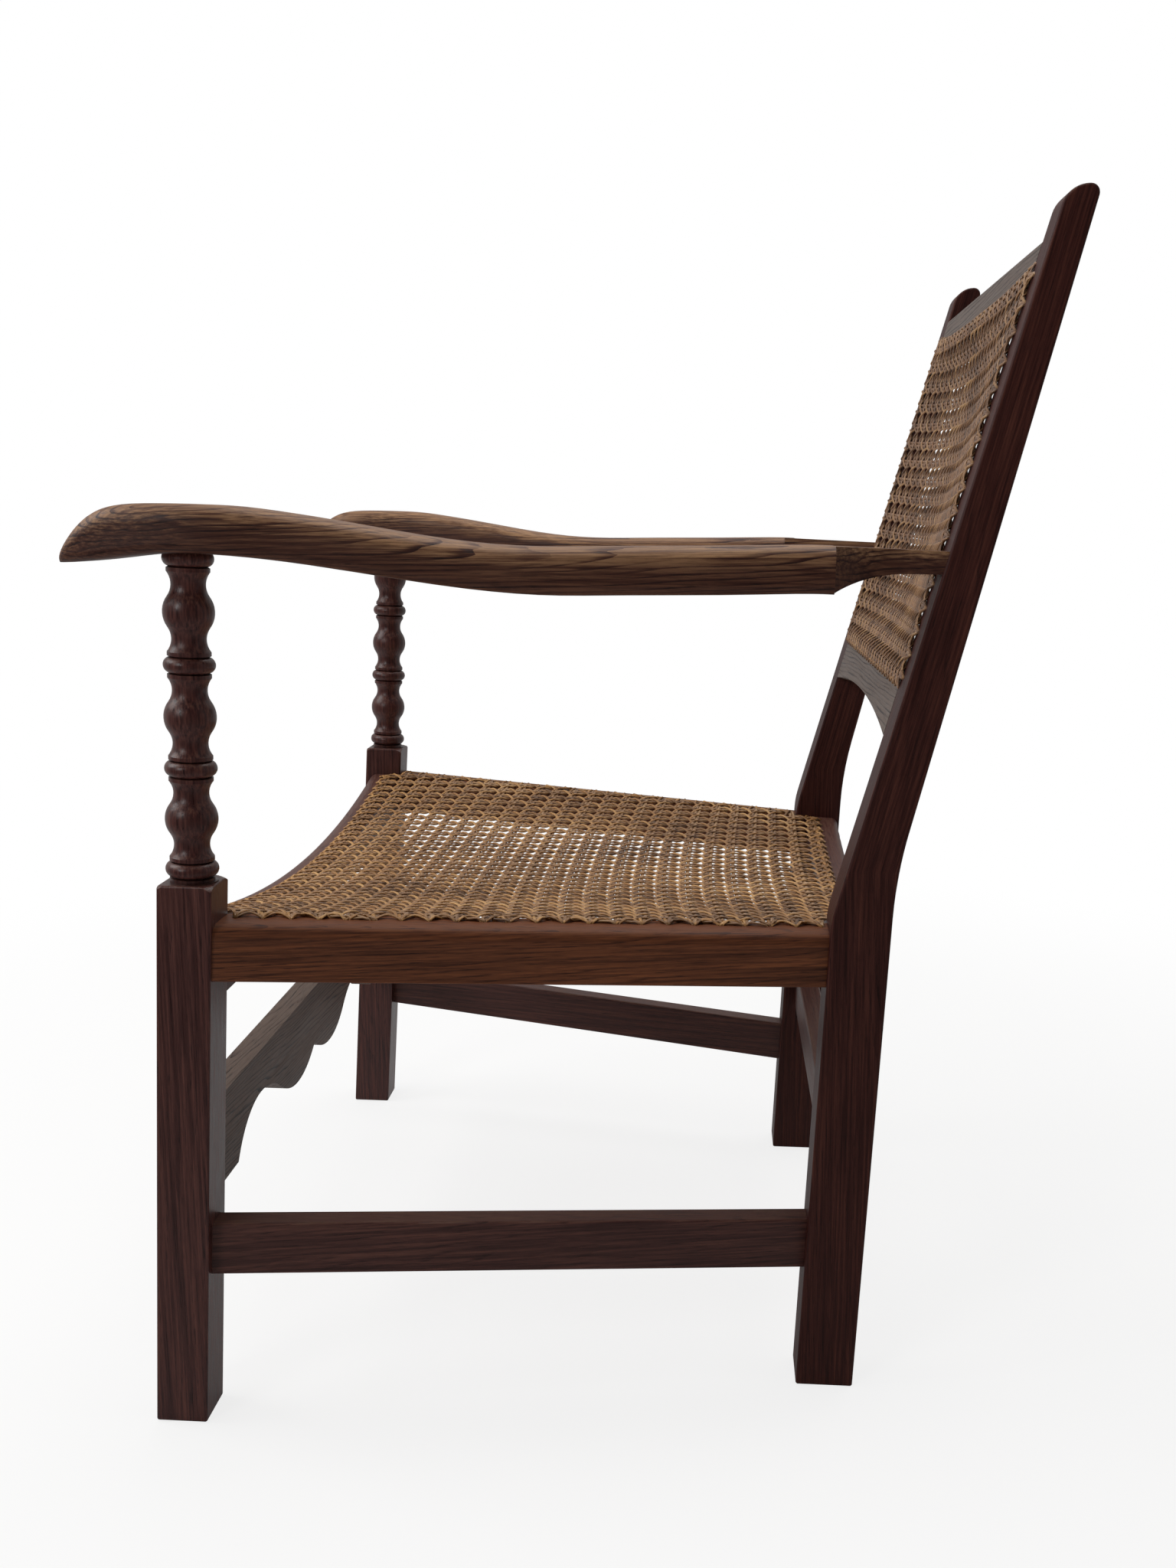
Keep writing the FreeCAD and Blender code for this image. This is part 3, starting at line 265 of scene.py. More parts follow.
        # Painted shade: grooves and corners, found by how closed in they are, go nearly black for their
        # shade and for the old wax and dust in them.
        open_air = add(
            tree, "ShaderNodeAmbientOcclusion", {"Distance": self.shade_and_grime_reach * MM},
            samples=RAYS, only_local=True, out="AO",
        )
        shade_and_grime = add(tree, "ShaderNodeMapRange", [open_air, *self.shade_and_grime_span, self.shade_and_grime_depth, 0.0])
        colour = add(
            tree, "ShaderNodeMix", {0: shade_and_grime, 6: colour, 7: linear(SHADE_AND_GRIME)}, data_type="RGBA", out=2,
        )
        gloss = add(tree, "ShaderNodeMapRange", [streaks, *self.tone_span, *self.roughness])
        relief = add(tree, "ShaderNodeMath", [streaks, pores], operation="SUBTRACT")
        bump = add(
            tree, "ShaderNodeBump",
            {"Height": relief, "Strength": self.relief_strength, "Distance": self.relief_depth * MM},
        )
        surface = add(tree, "ShaderNodeBsdfPrincipled", {
            "Base Color": colour,
            "Roughness": gloss,
            "Normal": bump,
            "IOR": self.ior,
            "Specular IOR Level": self.shine,
        })
        add(tree, "ShaderNodeOutputMaterial", {"Surface": surface})
        return material

    def streaked(self, tree: NodeTree, place: NodeSocket, mark: Span, detail: float) -> NodeSocket:
        """Noise drawn out along the fibres.

        Args:
            tree: The material's tree.
            place: Coordinates with the fibres along X.
            mark: Length and width of a mark in millimetres.
            detail: How many finer layers it has.

        Returns:
            The noise, about a half.
        """
        drawn = add(tree, "ShaderNodeMapping", {"Vector": place, "Scale": stretched(*mark)})
        return add(
            tree, "ShaderNodeTexNoise",
            {"Vector": drawn, "Scale": 1.0, "Detail": detail, "Roughness": NOISE_ROUGHNESS}, out="Fac",
        )

    def early_wood(self, tree: NodeTree, place: NodeSocket) -> NodeSocket:
        """Find the porous start of each year's growth, round a pith that lies outside the plank.

        Args:
            tree: The material's tree.
            place: Coordinates with the fibres along X.

        Returns:
            One at the start of a ring, fading to nought towards its end.
        """
        for length, width, sway in self.sways:
            drawn = add(tree, "ShaderNodeMapping", {"Vector": place, "Scale": stretched(length, width)})
            wander = add(
                tree, "ShaderNodeTexNoise", {"Vector": drawn, "Scale": 1.0, "Detail": 2.0}, out="Color",
            )
            wander = add(
                tree, "ShaderNodeVectorMath", [wander, (0.0, sway * MM, sway * MM)], operation="MULTIPLY",
            )
            place = add(tree, "ShaderNodeVectorMath", [place, wander], operation="ADD")
        place = add(
            tree, "ShaderNodeMapping",
            {"Vector": place, "Location": Vector(self.pith) * MM, "Rotation": self.askew},
        )
        growth = add(
            tree, "ShaderNodeTexWave",
            {"Vector": place, "Scale": math.tau / (WAVES_PER_TAU * self.ring * MM)},
            wave_type="RINGS", rings_direction="X", wave_profile="SAW", out="Fac",
        )
        start = add(
            tree, "ShaderNodeMapRange", [growth, 0.0, self.early_share, 1.0, 0.0],
            interpolation_type="SMOOTHSTEP",
        )
        uneven = self.streaked(tree, place, self.patch_mark, 1.0)
        uneven = add(tree, "ShaderNodeMapRange", [uneven, *self.patch_span, self.patch_low, 1.0])
        return add(tree, "ShaderNodeMath", [start, uneven], operation="MULTIPLY")

    def straightened(self, tree: NodeTree, place: NodeSocket) -> NodeSocket:
        """Undo the bend of a rear post, so that its fibres follow the bend.

        Args:
            tree: The material's tree.
            place: Object coordinates.

        Returns:
            Coordinates in which the post stands straight.
        """
        parts = add(tree, "ShaderNodeSeparateXYZ", [place]).node.outputs
        above = add(tree, "ShaderNodeMath", [parts[2], self.bend_height], operation="SUBTRACT")
        above = add(tree, "ShaderNodeMath", [above, 0.0], operation="MAXIMUM")
        lean = add(tree, "ShaderNodeMath", [above, self.bend_slope], operation="MULTIPLY")
        deep = add(tree, "ShaderNodeMath", [parts[1], lean], operation="SUBTRACT")
        return add(tree, "ShaderNodeCombineXYZ", [parts[0], deep, parts[2]])

    def worn_and_highlit_over(self, tree: NodeTree, colour: NodeSocket, tone: NodeSocket) -> NodeSocket:
        """Fade the stain on upward faces, where hands and light have worn it, and paint there the highlight
        of the light from above.

        Args:
            tree: The material's tree.
            colour: The stained colour.
            tone: The figure of the wood, which makes the wear streaky and stays visible in it.

        Returns:
            The colour with its worn places and painted highlights.
        """
        if self.wear_and_highlight == 0.0:
            return colour
        # The bevel's normal turns up near a top edge, so the wear and the painted highlight reach over the
        # edge and fade.
        eased = add(tree, "ShaderNodeBevel", {"Radius": self.wear_and_highlight_reach * MM}, samples=RAYS)
        upward = add(tree, "ShaderNodeSeparateXYZ", [eased], out=2)
        streaky = add(
            tree, "ShaderNodeMapRange", [tone, *self.tone_span, -self.wear_and_highlight_streaks, self.wear_and_highlight_streaks],
        )
        upward = add(tree, "ShaderNodeMath", [upward, streaky], operation="ADD")
        # Wear and painted highlight: the more a face looks up, the paler it is drawn.
        mask = add(
            tree, "ShaderNodeMapRange", [upward, self.wear_and_highlight_from, self.wear_and_highlight_to, 0.0, self.wear_and_highlight],
            interpolation_type="SMOOTHSTEP",
        )
        bare_and_highlit = add(
            tree, "ShaderNodeValToRGB", {"Fac": tone},
            stops=list(zip(self.bare_and_highlit_stops, (self.body, self.light, self.worn_and_highlit))), out="Color",
        )
        return add(tree, "ShaderNodeMix", {0: mask, 6: colour, 7: bare_and_highlit}, data_type="RGBA", out=2)


@dataclass(frozen=True)
class CaneFinish:
    """Rattan bark split into flat strands: smooth, waxy, each strand a little different.

    Flecks, patches and depths are in millimetres.
    """

    name: str
    dark: str
    body: str
    light: str
    # Bark flecks about 6 mm long; real fibres are finer than the picture can show.
    fleck: float = 6.0
    fleck_share: float = 0.45
    fleck_span: Span = (0.3, 0.7)
    patch: float = 90.0
    patch_share: float = 0.35
    stops: Triple = (0.25, 0.5, 0.78)
    roughness: Span = (0.34, 0.5)
    ior: float = 1.45
    relief_strength: float = 0.25
    relief_depth: float = 0.15

    def material(self) -> Material:
        """Make the cane's material; the strand's own tone comes from its attribute.

        Returns:
            The finished material.
        """
        material, tree = new_material(self.name)
        place = add(tree, "ShaderNodeTexCoord", out="Object")
        strand = add(tree, "ShaderNodeAttribute", attribute_name="strand_tone", out="Fac")
        flecks = add(tree, "ShaderNodeTexNoise", {
            "Vector": place, "Scale": 1.0 / (self.fleck * MM), "Detail": 3.0, "Roughness": NOISE_ROUGHNESS,
        }, out="Fac")
        aged = add(
            tree, "ShaderNodeTexNoise",
            {"Vector": place, "Scale": 1.0 / (self.patch * MM), "Detail": 2.0}, out="Fac",
        )
        tone = add(tree, "ShaderNodeMix", {0: self.fleck_share, 2: strand, 3: flecks}, data_type="FLOAT")
        tone = add(tree, "ShaderNodeMix", {0: self.patch_share, 2: tone, 3: aged}, data_type="FLOAT")
        colour = add(
            tree, "ShaderNodeValToRGB", {"Fac": tone},
            stops=list(zip(self.stops, (self.dark, self.body, self.light))), out="Color",
        )
        gloss = add(tree, "ShaderNodeMapRange", [flecks, *self.fleck_span, *self.roughness])
        bump = add(
            tree, "ShaderNodeBump",
            {"Height": flecks, "Strength": self.relief_strength, "Distance": self.relief_depth * MM},
        )
        surface = add(
            tree, "ShaderNodeBsdfPrincipled",
            {"Base Color": colour, "Roughness": gloss, "Normal": bump, "IOR": self.ior},
        )
        add(tree, "ShaderNodeOutputMaterial", {"Surface": surface})
        return material


# Oak stained a dark red and thinly waxed: an even colour with little shine, paler where it looks up, as
# dust and as painted highlight.
POST_OAK = OakFinish(
    "Red_stained_oak", dark="#230e0c", body="#3a1a16", light="#522b22", worn_and_highlit="#5c4237",
    ring=3.6, figure=0.15, wear_and_highlight=0.6, wear_and_highlight_from=0.3, wear_and_highlight_to=0.95, shine=0.22,
)
# Planed oak under the same stain and more wax: browner, with a soft shine.
DARK_OAK = OakFinish(
    "Stained_oak", dark="#27120f", body="#452521", light="#60392f", worn_and_highlit="#6b5040",
    ring=3.6, figure=0.15, wear_and_highlight=0.6, wear_and_highlight_from=0.3, wear_and_highlight_to=0.95,
)
# Turned oak, smoothed on the lathe: small bright lights on the bobbins, and painted shade with old wax,
# black in the grooves between.
TURNED_OAK = OakFinish(
    "Turned_oak", dark="#221010", body="#432421", light="#60372f", worn_and_highlit="#6b5040",
    ring=3.6, figure=0.15, wear_and_highlight=0.6, wear_and_highlight_from=0.3, wear_and_highlight_to=0.95, roughness=(0.26, 0.42), shade_and_grime_reach=16.0,
)
# Sawn oak that nobody waxes: grey-brown with dust, its rings and open pores plain to see.
DUSTY_OAK = OakFinish(
    "Dusty_oak", dark="#120a08", body="#3b2a24", light="#604d44", worn_and_highlit="#6d5c51",
    ring=2.8, figure=0.8, wear_and_highlight=0.8, wear_and_highlight_from=0.3, wear_and_highlight_to=0.9, shine=0.25,
)
# Planed oak that light has greyed: pale bands between dark ones, nearly matt.
CREST_OAK = OakFinish(
    "Greyed_oak", dark="#1a1210", body="#41352f", light="#665850", worn_and_highlit="#685b53",
    ring=3.6, figure=0.75, wear_and_highlight=0.5, wear_and_highlight_from=0.2, wear_and_highlight_to=0.9, shine=0.25,
)
# Oak rubbed by clothes: the stain has thinned to a warm brown, and its top and rounded top edge are drawn
# paler, partly as painted highlight.
SEAT_RAIL_OAK = OakFinish(
    "Rubbed_oak", dark="#2b140e", body="#57301d", light="#7a4629", worn_and_highlit="#6b4127",
    ring=4.0, figure=0.2, wear_and_highlight=0.8, wear_and_highlight_from=0.72, wear_and_highlight_to=0.98, shine=0.25,
)
# Oak worn by hands: bare pale streaks on top, partly painted highlight, which fade over the edges into
# dark, shiny sides.
ARM_OAK = OakFinish(
    "Worn_oak", dark="#190a08", body="#391b14", light="#5e3a28", worn_and_highlit="#ad8560",
    ring=3.6, figure=0.42, wear_and_highlight=0.9, wear_and_highlight_from=0.18, wear_and_highlight_to=0.82, wear_and_highlight_reach=15.0, shine=0.38,
)
# Beech turned and left bare: pale and even.
DOWEL_BEECH = OakFinish(
    "Turned_beech", dark="#a67c55", body="#bd946b", light="#cfab83", worn_and_highlit="#d9b994", ring=3.0, figure=0.2,
)
# Golden strands lie on top of the seat; the pairs below them are greyer, greyed by dirt and painted with
# the grey sheen their shiny skin shows at a low angle; the back has darkened most.
GOLDEN_CANE = CaneFinish("Golden_rattan_cane", dark="#62401f", body="#a47543", light="#ca9d63")
# Painted sheen: the seat's pairs are drawn greyer than the golden strands, partly for their dirt and partly
# for the grey reflection along them.
GREYED_SHEEN_CANE = CaneFinish("Greyed_sheen_rattan_cane", dark="#573b27", body="#916b49", light="#b7936c")
DARKENED_CANE = CaneFinish("Darkened_rattan_cane", dark="#4c3421", body="#866142", light="#a9855c")
DUSTY_CANE = CaneFinish("Dusty_rattan_cane", dark="#463124", body="#775843", light="#97775c")


@dataclass
class Joinery:
    """A group of wooden pieces that share a finish."""

    finish: OakFinish = DARK_OAK
    pieces: tuple[tuple[str, Grain], ...] = ()

    def dress(self) -> None:
        """Give every piece of the group its finish, its fibres running its own way."""
        made: dict[Grain, Material] = {}
        for name, grain in self.pieces:
            if grain not in made:
                made[grain] = self.finish.material(grain)
            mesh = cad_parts[name].data
            mesh.materials.clear()
            mesh.materials.append(made[grain])
            LOG.info("%s: %s", name, made[grain].name)


@dataclass
class FrontLegs(Joinery):
    """Square front legs with turned arm supports, the turning waxed to a shine."""

    finish: OakFinish = TURNED_OAK
    pieces: tuple[tuple[str, Grain], ...] = (
        ("front_leg_left", Grain.UPRIGHT),
        ("front_leg_right", Grain.UPRIGHT),
    )


@dataclass
class RearPosts(Joinery):
    """The bent rear posts, redder than the legs."""

    finish: OakFinish = POST_OAK
    pieces: tuple[tuple[str, Grain], ...] = (
        ("rear_post_left", Grain.BENT_UPRIGHT),
        ("rear_post_right", Grain.BENT_UPRIGHT),
    )


@dataclass
class CrossPieces(Joinery):
    """Rails and stretchers of the stained frame."""

    pieces: tuple[tuple[str, Grain], ...] = (
        ("seat_rail_front", Grain.CROSSWAYS),
        ("seat_rail_rear", Grain.CROSSWAYS),
        ("side_stretcher_left", Grain.LEFT_SIDE),
        ("side_stretcher_right", Grain.RIGHT_SIDE),
        ("rear_stretcher", Grain.CROSSWAYS),
    )


@dataclass
class FrontStretcher(Joinery):
    """The scalloped stretcher, dusty in its open pores."""

    finish: OakFinish = DUSTY_OAK
    pieces: tuple[tuple[str, Grain], ...] = (("front_stretcher", Grain.CROSSWAYS),)


@dataclass
class BackRails(Joinery):
    """Cross rails of the back, greyed by light."""

    finish: OakFinish = CREST_OAK
    pieces: tuple[tuple[str, Grain], ...] = (
        ("back_top_rail", Grain.CROSSWAYS),
        ("back_lower_rail", Grain.CROSSWAYS),
    )


@dataclass
class SideRails(Joinery):
    """Side rails of the seat, rubbed to a warmer brown."""

    finish: OakFinish = SEAT_RAIL_OAK
    pieces: tuple[tuple[str, Grain], ...] = (
        ("seat_rail_left", Grain.LEFT_SIDE),
        ("seat_rail_right", Grain.RIGHT_SIDE),
    )


@dataclass
class Arms(Joinery):
    """Arms, their tops worn pale and painted with highlight."""

    finish: OakFinish = ARM_OAK
    pieces: tuple[tuple[str, Grain], ...] = (
        ("arm_left", Grain.LEFT_ARM),
        ("arm_right", Grain.RIGHT_ARM),
    )


@dataclass
class Dowels(Joinery):
    """Dowels inside the joints."""

    finish: OakFinish = DOWEL_BEECH
    pieces: tuple[tuple[str, Grain], ...] = (
        ("seat_rail_dowels", Grain.LEFT_SIDE),
        ("stretcher_dowels", Grain.LEFT_SIDE),
        ("back_rail_dowels", Grain.CROSSWAYS),
        ("arm_dowels", Grain.LEFT_ARM),
    )


# Sizes that a panel gives to the weave tree.
PANEL_SIZES = (
    "Strand Width", "Strand Thickness", "Front Dip", "Rear Dip", "Middle Sag", "Skew", "Bow",
    "Front Half Width", "Narrowing", "Length", "Margin",
)
# How a panel sinks and bows, one sum a row: what it gives, the operation, and what goes in.
PANEL_SUMS: tuple[tuple[str | float, ...], ...] = (
    # Between the rails' inner edges the sag fades as the fourth power of the distance from the middle.
    ("off squared", "MULTIPLY", "off", "off"),
    ("swing", "SUBTRACT", 1.0, "off squared"),
    ("off to the fourth", "MULTIPLY", "off squared", "off squared"),
    ("slack", "SUBTRACT", 1.0, "off to the fourth"),
    ("dip", "MULTIPLY_ADD", "slack", "Middle Sag", "dip"),
    ("narrowed", "MULTIPLY", "y", "Narrowing"),
    ("half", "SUBTRACT", "Front Half Width", "narrowed"),
    ("share", "DIVIDE", "x", "half"),
    # A skewed panel sinks deeper on the sitter's right.
    ("lean", "MULTIPLY", "share", "Skew"),
    ("lopsided", "SUBTRACT", 1.0, "lean"),
    ("share squared", "MULTIPLY", "share", "share"),
    ("bowl", "SUBTRACT", 1.0, "share squared"),
    ("bowl", "MAXIMUM", "bowl", 0.0),
    ("sunk", "MULTIPLY", "bowl", "dip"),
    ("sunk", "MULTIPLY", "sunk", "lopsided"),
    ("sunk", "MULTIPLY", "sunk", -1.0),
    # The cross strands bow forward, most of all in the middle of the panel.
    ("forward", "MULTIPLY", "swing", "Bow"),
    ("forward", "MULTIPLY", "forward", "bowl"),
    ("forward", "MULTIPLY", "forward", -1.0),
)


@dataclass
class WeaveTree:
    """Geometry Nodes that sweep flat strands along their paths and lay them on a scooped frame."""

    profile_sides: int = 8
    tone_seed: int = 11
    tree: NodeTree = field(init=False)
    sockets: dict[str, str] = field(init=False, default_factory=dict)

    def __post_init__(self) -> None:
        """Build the tree once, for every panel."""
        self.tree = bpy.data.node_groups.new("lay_cane", "GeometryNodeTree")
        face = self.tree.interface
        face.new_socket("Paths", in_out="INPUT", socket_type="NodeSocketGeometry")
        for name in PANEL_SIZES:
            socket = face.new_socket(name, in_out="INPUT", socket_type="NodeSocketFloat")
            self.sockets[name] = socket.identifier
        socket = face.new_socket("Cane", in_out="INPUT", socket_type="NodeSocketMaterial")
        self.sockets["Cane"] = socket.identifier
        face.new_socket("Weave", in_out="OUTPUT", socket_type="NodeSocketGeometry")
        self.wire()

    def wire(self) -> None:
        """Add the nodes: paths to curves, sweep, scoop, finish."""
        tree = self.tree
        given = add(tree, "NodeGroupInput").node.outputs
        curves = add(tree, "GeometryNodeMeshToCurve", [given["Paths"]])
        curves = add(tree, "GeometryNodeSetCurveNormal", [curves], mode="Z_UP")
        index = add(tree, "GeometryNodeInputIndex")
        tone = add(
            tree, "FunctionNodeRandomValue", {2: 0.0, 3: 1.0, "ID": index, "Seed": self.tone_seed},
            data_type="FLOAT", out=1,
        )
        curves = add(
            tree, "GeometryNodeStoreNamedAttribute", {0: curves, "Name": "strand_tone", "Value": tone},
            data_type="FLOAT", domain="CURVE",
        )
        round_profile = add(
            tree, "GeometryNodeCurvePrimitiveCircle", {"Resolution": self.profile_sides, "Radius": 0.5},
        )
        flat = add(tree, "ShaderNodeCombineXYZ", [given["Strand Width"], given["Strand Thickness"], 1.0])
        profile = add(tree, "GeometryNodeTransform", {0: round_profile, "Scale": flat})
        strands = add(
            tree, "GeometryNodeCurveToMesh", {0: curves, "Profile Curve": profile, "Fill Caps": True},
        )
        offset = self.sunken(given)
        strands = add(tree, "GeometryNodeSetPosition", {0: strands, "Offset": offset})
        strands = add(tree, "GeometryNodeSetShadeSmooth", [strands])
        strands = add(tree, "GeometryNodeRealizeInstances", [strands])
        strands = add(tree, "GeometryNodeSetMaterial", {0: strands, "Material": given["Cane"]})
        add(tree, "NodeGroupOutput", [strands])

    def sunken(self, given: NodeOutputs) -> NodeSocket:
        """Work out how far each point of a flat panel sinks and bows.

        Args:
            given: The tree's inputs.

        Returns:
            The way from the flat panel to the scooped one.
        """
        tree = self.tree
        place = add(tree, "GeometryNodeInputPosition")
        x, y, _ = add(tree, "ShaderNodeSeparateXYZ", [place]).node.outputs
        back = add(tree, "ShaderNodeMath", [y, given["Length"]], operation="DIVIDE")
        dip = add(
            tree, "ShaderNodeMix", {0: back, 2: given["Front Dip"], 3: given["Rear Dip"]},
            data_type="FLOAT", clamp_factor=False,
        )
        inner = add(tree, "ShaderNodeMath", [given["Length"], given["Margin"]], operation="SUBTRACT")
        off = add(tree, "ShaderNodeMapRange", [y, given["Margin"], inner, -1.0, 1.0])
        known: dict[str, object] = {name: given[name] for name in PANEL_SIZES}
        known |= {"x": x, "y": y, "dip": dip, "off": off}
        for result, operation, *operands in PANEL_SUMS:
            terms = [known.get(operand, operand) for operand in operands]
            known[result] = add(tree, "ShaderNodeMath", terms, operation=operation)
        return add(tree, "ShaderNodeCombineXYZ", [0.0, known["forward"], known["sunk"]])

    def lay(
        self,
        name: str,
        paths: list[list[Vector]],
        values: dict[str, object],
        place: Matrix,
    ) -> Object:
        """Sweep the strands along their paths and keep the result as a plain mesh.

        Args:
            name: The new piece's name.
            paths: Points of every strand, on the flat panel.
            values: The tree's inputs by name.
            place: Where the flat panel lies on the chair.

        Returns:
            The piece, at the origin, with its place in its mesh.
        """
        points = [point for path in paths for point in path]
        edges: list[tuple[int, int]] = []
        first = 0
        for path in paths:
            edges += [(first + i, first + i + 1) for i in range(len(path) - 1)]
            first += len(path)
        mesh = bpy.data.meshes.new(f"{name}_paths")
        mesh.from_pydata(points, edges, [])
        source = new_object(f"{name}_paths", mesh)
        modifier = source.modifiers.new("lay_cane", "NODES")
        modifier.node_group = self.tree
        for key, value in values.items():
            modifier[self.sockets[key]] = value
        graph = bpy.context.evaluated_depsgraph_get()
        swept = bpy.data.meshes.new_from_object(source.evaluated_get(graph), depsgraph=graph)
        swept.transform(place)
        swept.name = name
        bpy.data.objects.remove(source)
        bpy.data.meshes.remove(mesh)
        return new_object(name, swept)


@dataclass
class CanePanel:
    """A panel of six-way caning: doubled strands both ways, and two diagonals over and under them.

    Heights count from the flat panel. Lifts are shares of a strand's thickness, and a strand's shortest
    length, its margin, its climb and its draw are shares of the pitch along the panel.
    """

    name: str
    node: str
    across: float
    along: float
    columns: int
    rows: int
    seed: int
    tilt: float
    strand_width: float = 2.8 * MM
    strand_thickness: float = 1.5 * MM
    pair_spacing: float = 3.1 * MM
    pair_lift: float = 0.55
    pair_hold: float = 0.7
    pair_rise: float = 0.1 * MM
    diagonal_lift: float = 0.9
    diagonal_hold: float = 0.85
    # Share of a crossing's length and height, from under one pair to under the next.
    diagonal_wave: tuple[Span, ...] = (
        (0.0, -1.0), (0.14, -0.8), (0.36, 0.8), (0.5, 1.0), (0.64, 0.8), (0.86, -0.8),
    )
    shortest: float = 0.8
    margin: float = 0.3
    climb: float = 0.28
    draw: float = 1.1
    # Crossings counted past the panel's own, because it is wider in front than its columns.
    spare: int = 4
    arch_reach: float = 6.5 * MM
    arch_rise: float = 1.0 * MM
    arch_steps: int = 8
    # The next hole of an edge lies between these pitches away, and about straight back or to the left.
    next_hole: Span = (0.5, 1.5)
    backward: float = 0.8
    leftward: float = 0.98
    hole_rest: float = -0.9 * MM
    hole_depth: float = -3.5 * MM
    hole_slack: float = 1.0 * MM
    uneven_side: float = 0.22 * MM
    uneven_height: float = 0.04 * MM
    uneven_arch: float = 0.4 * MM
    front_dip: float = 0.0
    rear_dip: float = 0.0
    middle_sag: float = 0.0
    skew: float = 0.0
    bow: float = 0.0
    narrowing: float = 0.0
    # How far the holes lie outside the frame's opening, and how high the weave lies on the frame.
    overlap: float = 13.0 * MM
    lift: float = 1.5 * MM
    pair_finish: CaneFinish = GREYED_SHEEN_CANE
    diagonal_finish: CaneFinish = GOLDEN_CANE
    holes: list[Vector] = field(init=False, default_factory=list)
    chance: random.Random = field(init=False)

    def __post_init__(self) -> None:
        """Drill the holes and start the seeded irregularity."""
        self.chance = random.Random(self.seed)
        self.holes = self.drilled()

    def length(self) -> float:
        """Distance from the first line of holes to the last."""
        return self.rows * self.along

    def outline(self) -> list[Vector]:
        """Corners of the line of holes, in order round the panel."""
        raise NotImplementedError

    def opening(self) -> float:
        """Half the width of the frame's opening at the first line of holes."""
        raise NotImplementedError

    def place(self) -> Matrix:
        """Where the flat panel lies on the chair."""
        raise NotImplementedError

    def drilled(self) -> list[Vector]:
        """Find the holes: one for every column and every row, where it meets the outline.

        Returns:
            The holes on the flat panel.
        """
        holes: list[Vector] = []
        for column in range(-self.columns, self.columns + 1):
            start = Vector((column * self.across, -OUTSIDE))
            for reach in self.clipped(start, ALONG) or ():
                end = start + ALONG * reach
                if min(abs(end.y), abs(end.y - self.length())) < self.hole_slack:
                    holes.append(end)
        for row in range(self.rows):
            start = Vector((-OUTSIDE, (row + 0.5) * self.along))
            for reach in self.clipped(start, ACROSS) or ():
                holes.append(start + ACROSS * reach)
        return holes

    def clipped(self, start: Vector, way: Vector) -> Span | None:
        """Find the longest stretch of a line that lies inside the outline.

        Args:
            start: A point of the line, outside the panel.
            way: The line's unit direction.

        Returns:
            The two distances from the start, or None where the line misses the panel.
        """
        corners = self.outline()
        cuts: list[float] = []
        for a, b in zip(corners, corners[1:] + corners[:1]):
            side = b - a
            turn = way.x * side.y - way.y * side.x
            if abs(turn) < PARALLEL:
                continue
            gap = a - start
            distance = (gap.x * side.y - gap.y * side.x) / turn
            share = (gap.x * way.y - gap.y * way.x) / turn
            if 0.0 <= share < 1.0 and 0.0 < distance < FOLLOWED:
                cuts.append(distance)
        cuts.sort()
        spans = [(b - a, a, b) for a, b in zip(cuts[0::2], cuts[1::2])]
        return max(spans)[1:] if spans else None

    def strand(
        self,
        start: Vector,
        way: Vector,
        knots: list[Span],
        hold: float,
        rise: float,
    ) -> list[Vector] | None:
        """Draw one strand from hole to hole through its crossings.

        Args:
            start: A point of the strand's line, outside the panel.
            way: The line's unit direction.
            knots: Distance along the line and height of every crossing.
            hold: How much of the way each end is drawn into its hole.
            rise: Height of the strand where it comes to the hole.

        Returns:
            The strand's points, or None where the line misses the panel.
        """
        span = self.clipped(start, way)
        if span is None or span[1] - span[0] < self.shortest * self.along:
            return None
        first, last = span
        margin = self.margin * self.along
        inside = [(s, z) for s, z in knots if first + margin < s < last - margin]
        mouth = 0.5 * self.strand_width
        climb = self.climb * self.along
        rest = self.hole_rest
        sunk = self.hole_depth
        ends_in = [(first, sunk), (first + mouth, rest), (first + climb, rise)]
        ends_out = [(last - climb, rise), (last - mouth, rest), (last, sunk)]
        pulls = []
        for reach in span:
            end = start + way * reach
            nearest = min(self.holes, key=lambda hole: (hole - end).length)
            pulls.append((nearest - end) * hold)
        sideways = Vector((-way.y, way.x)) * self.chance.gauss(0.0, self.uneven_side)
        points = []
        for s, z in ends_in + inside + ends_out:
            spot = start + way * s
            for reach, pull in zip(span, pulls):
                near = max(0.0, 1.0 - abs(s - reach) / (self.draw * self.along))
                spot = spot + pull * (near * near * (3.0 - 2.0 * near))
            free = min(1.0, (s - first) / self.along, (last - s) / self.along)
            spot = spot + sideways * max(0.0, free)
            points.append(Vector((spot.x, spot.y, z + self.chance.gauss(0.0, self.uneven_height))))
        return points

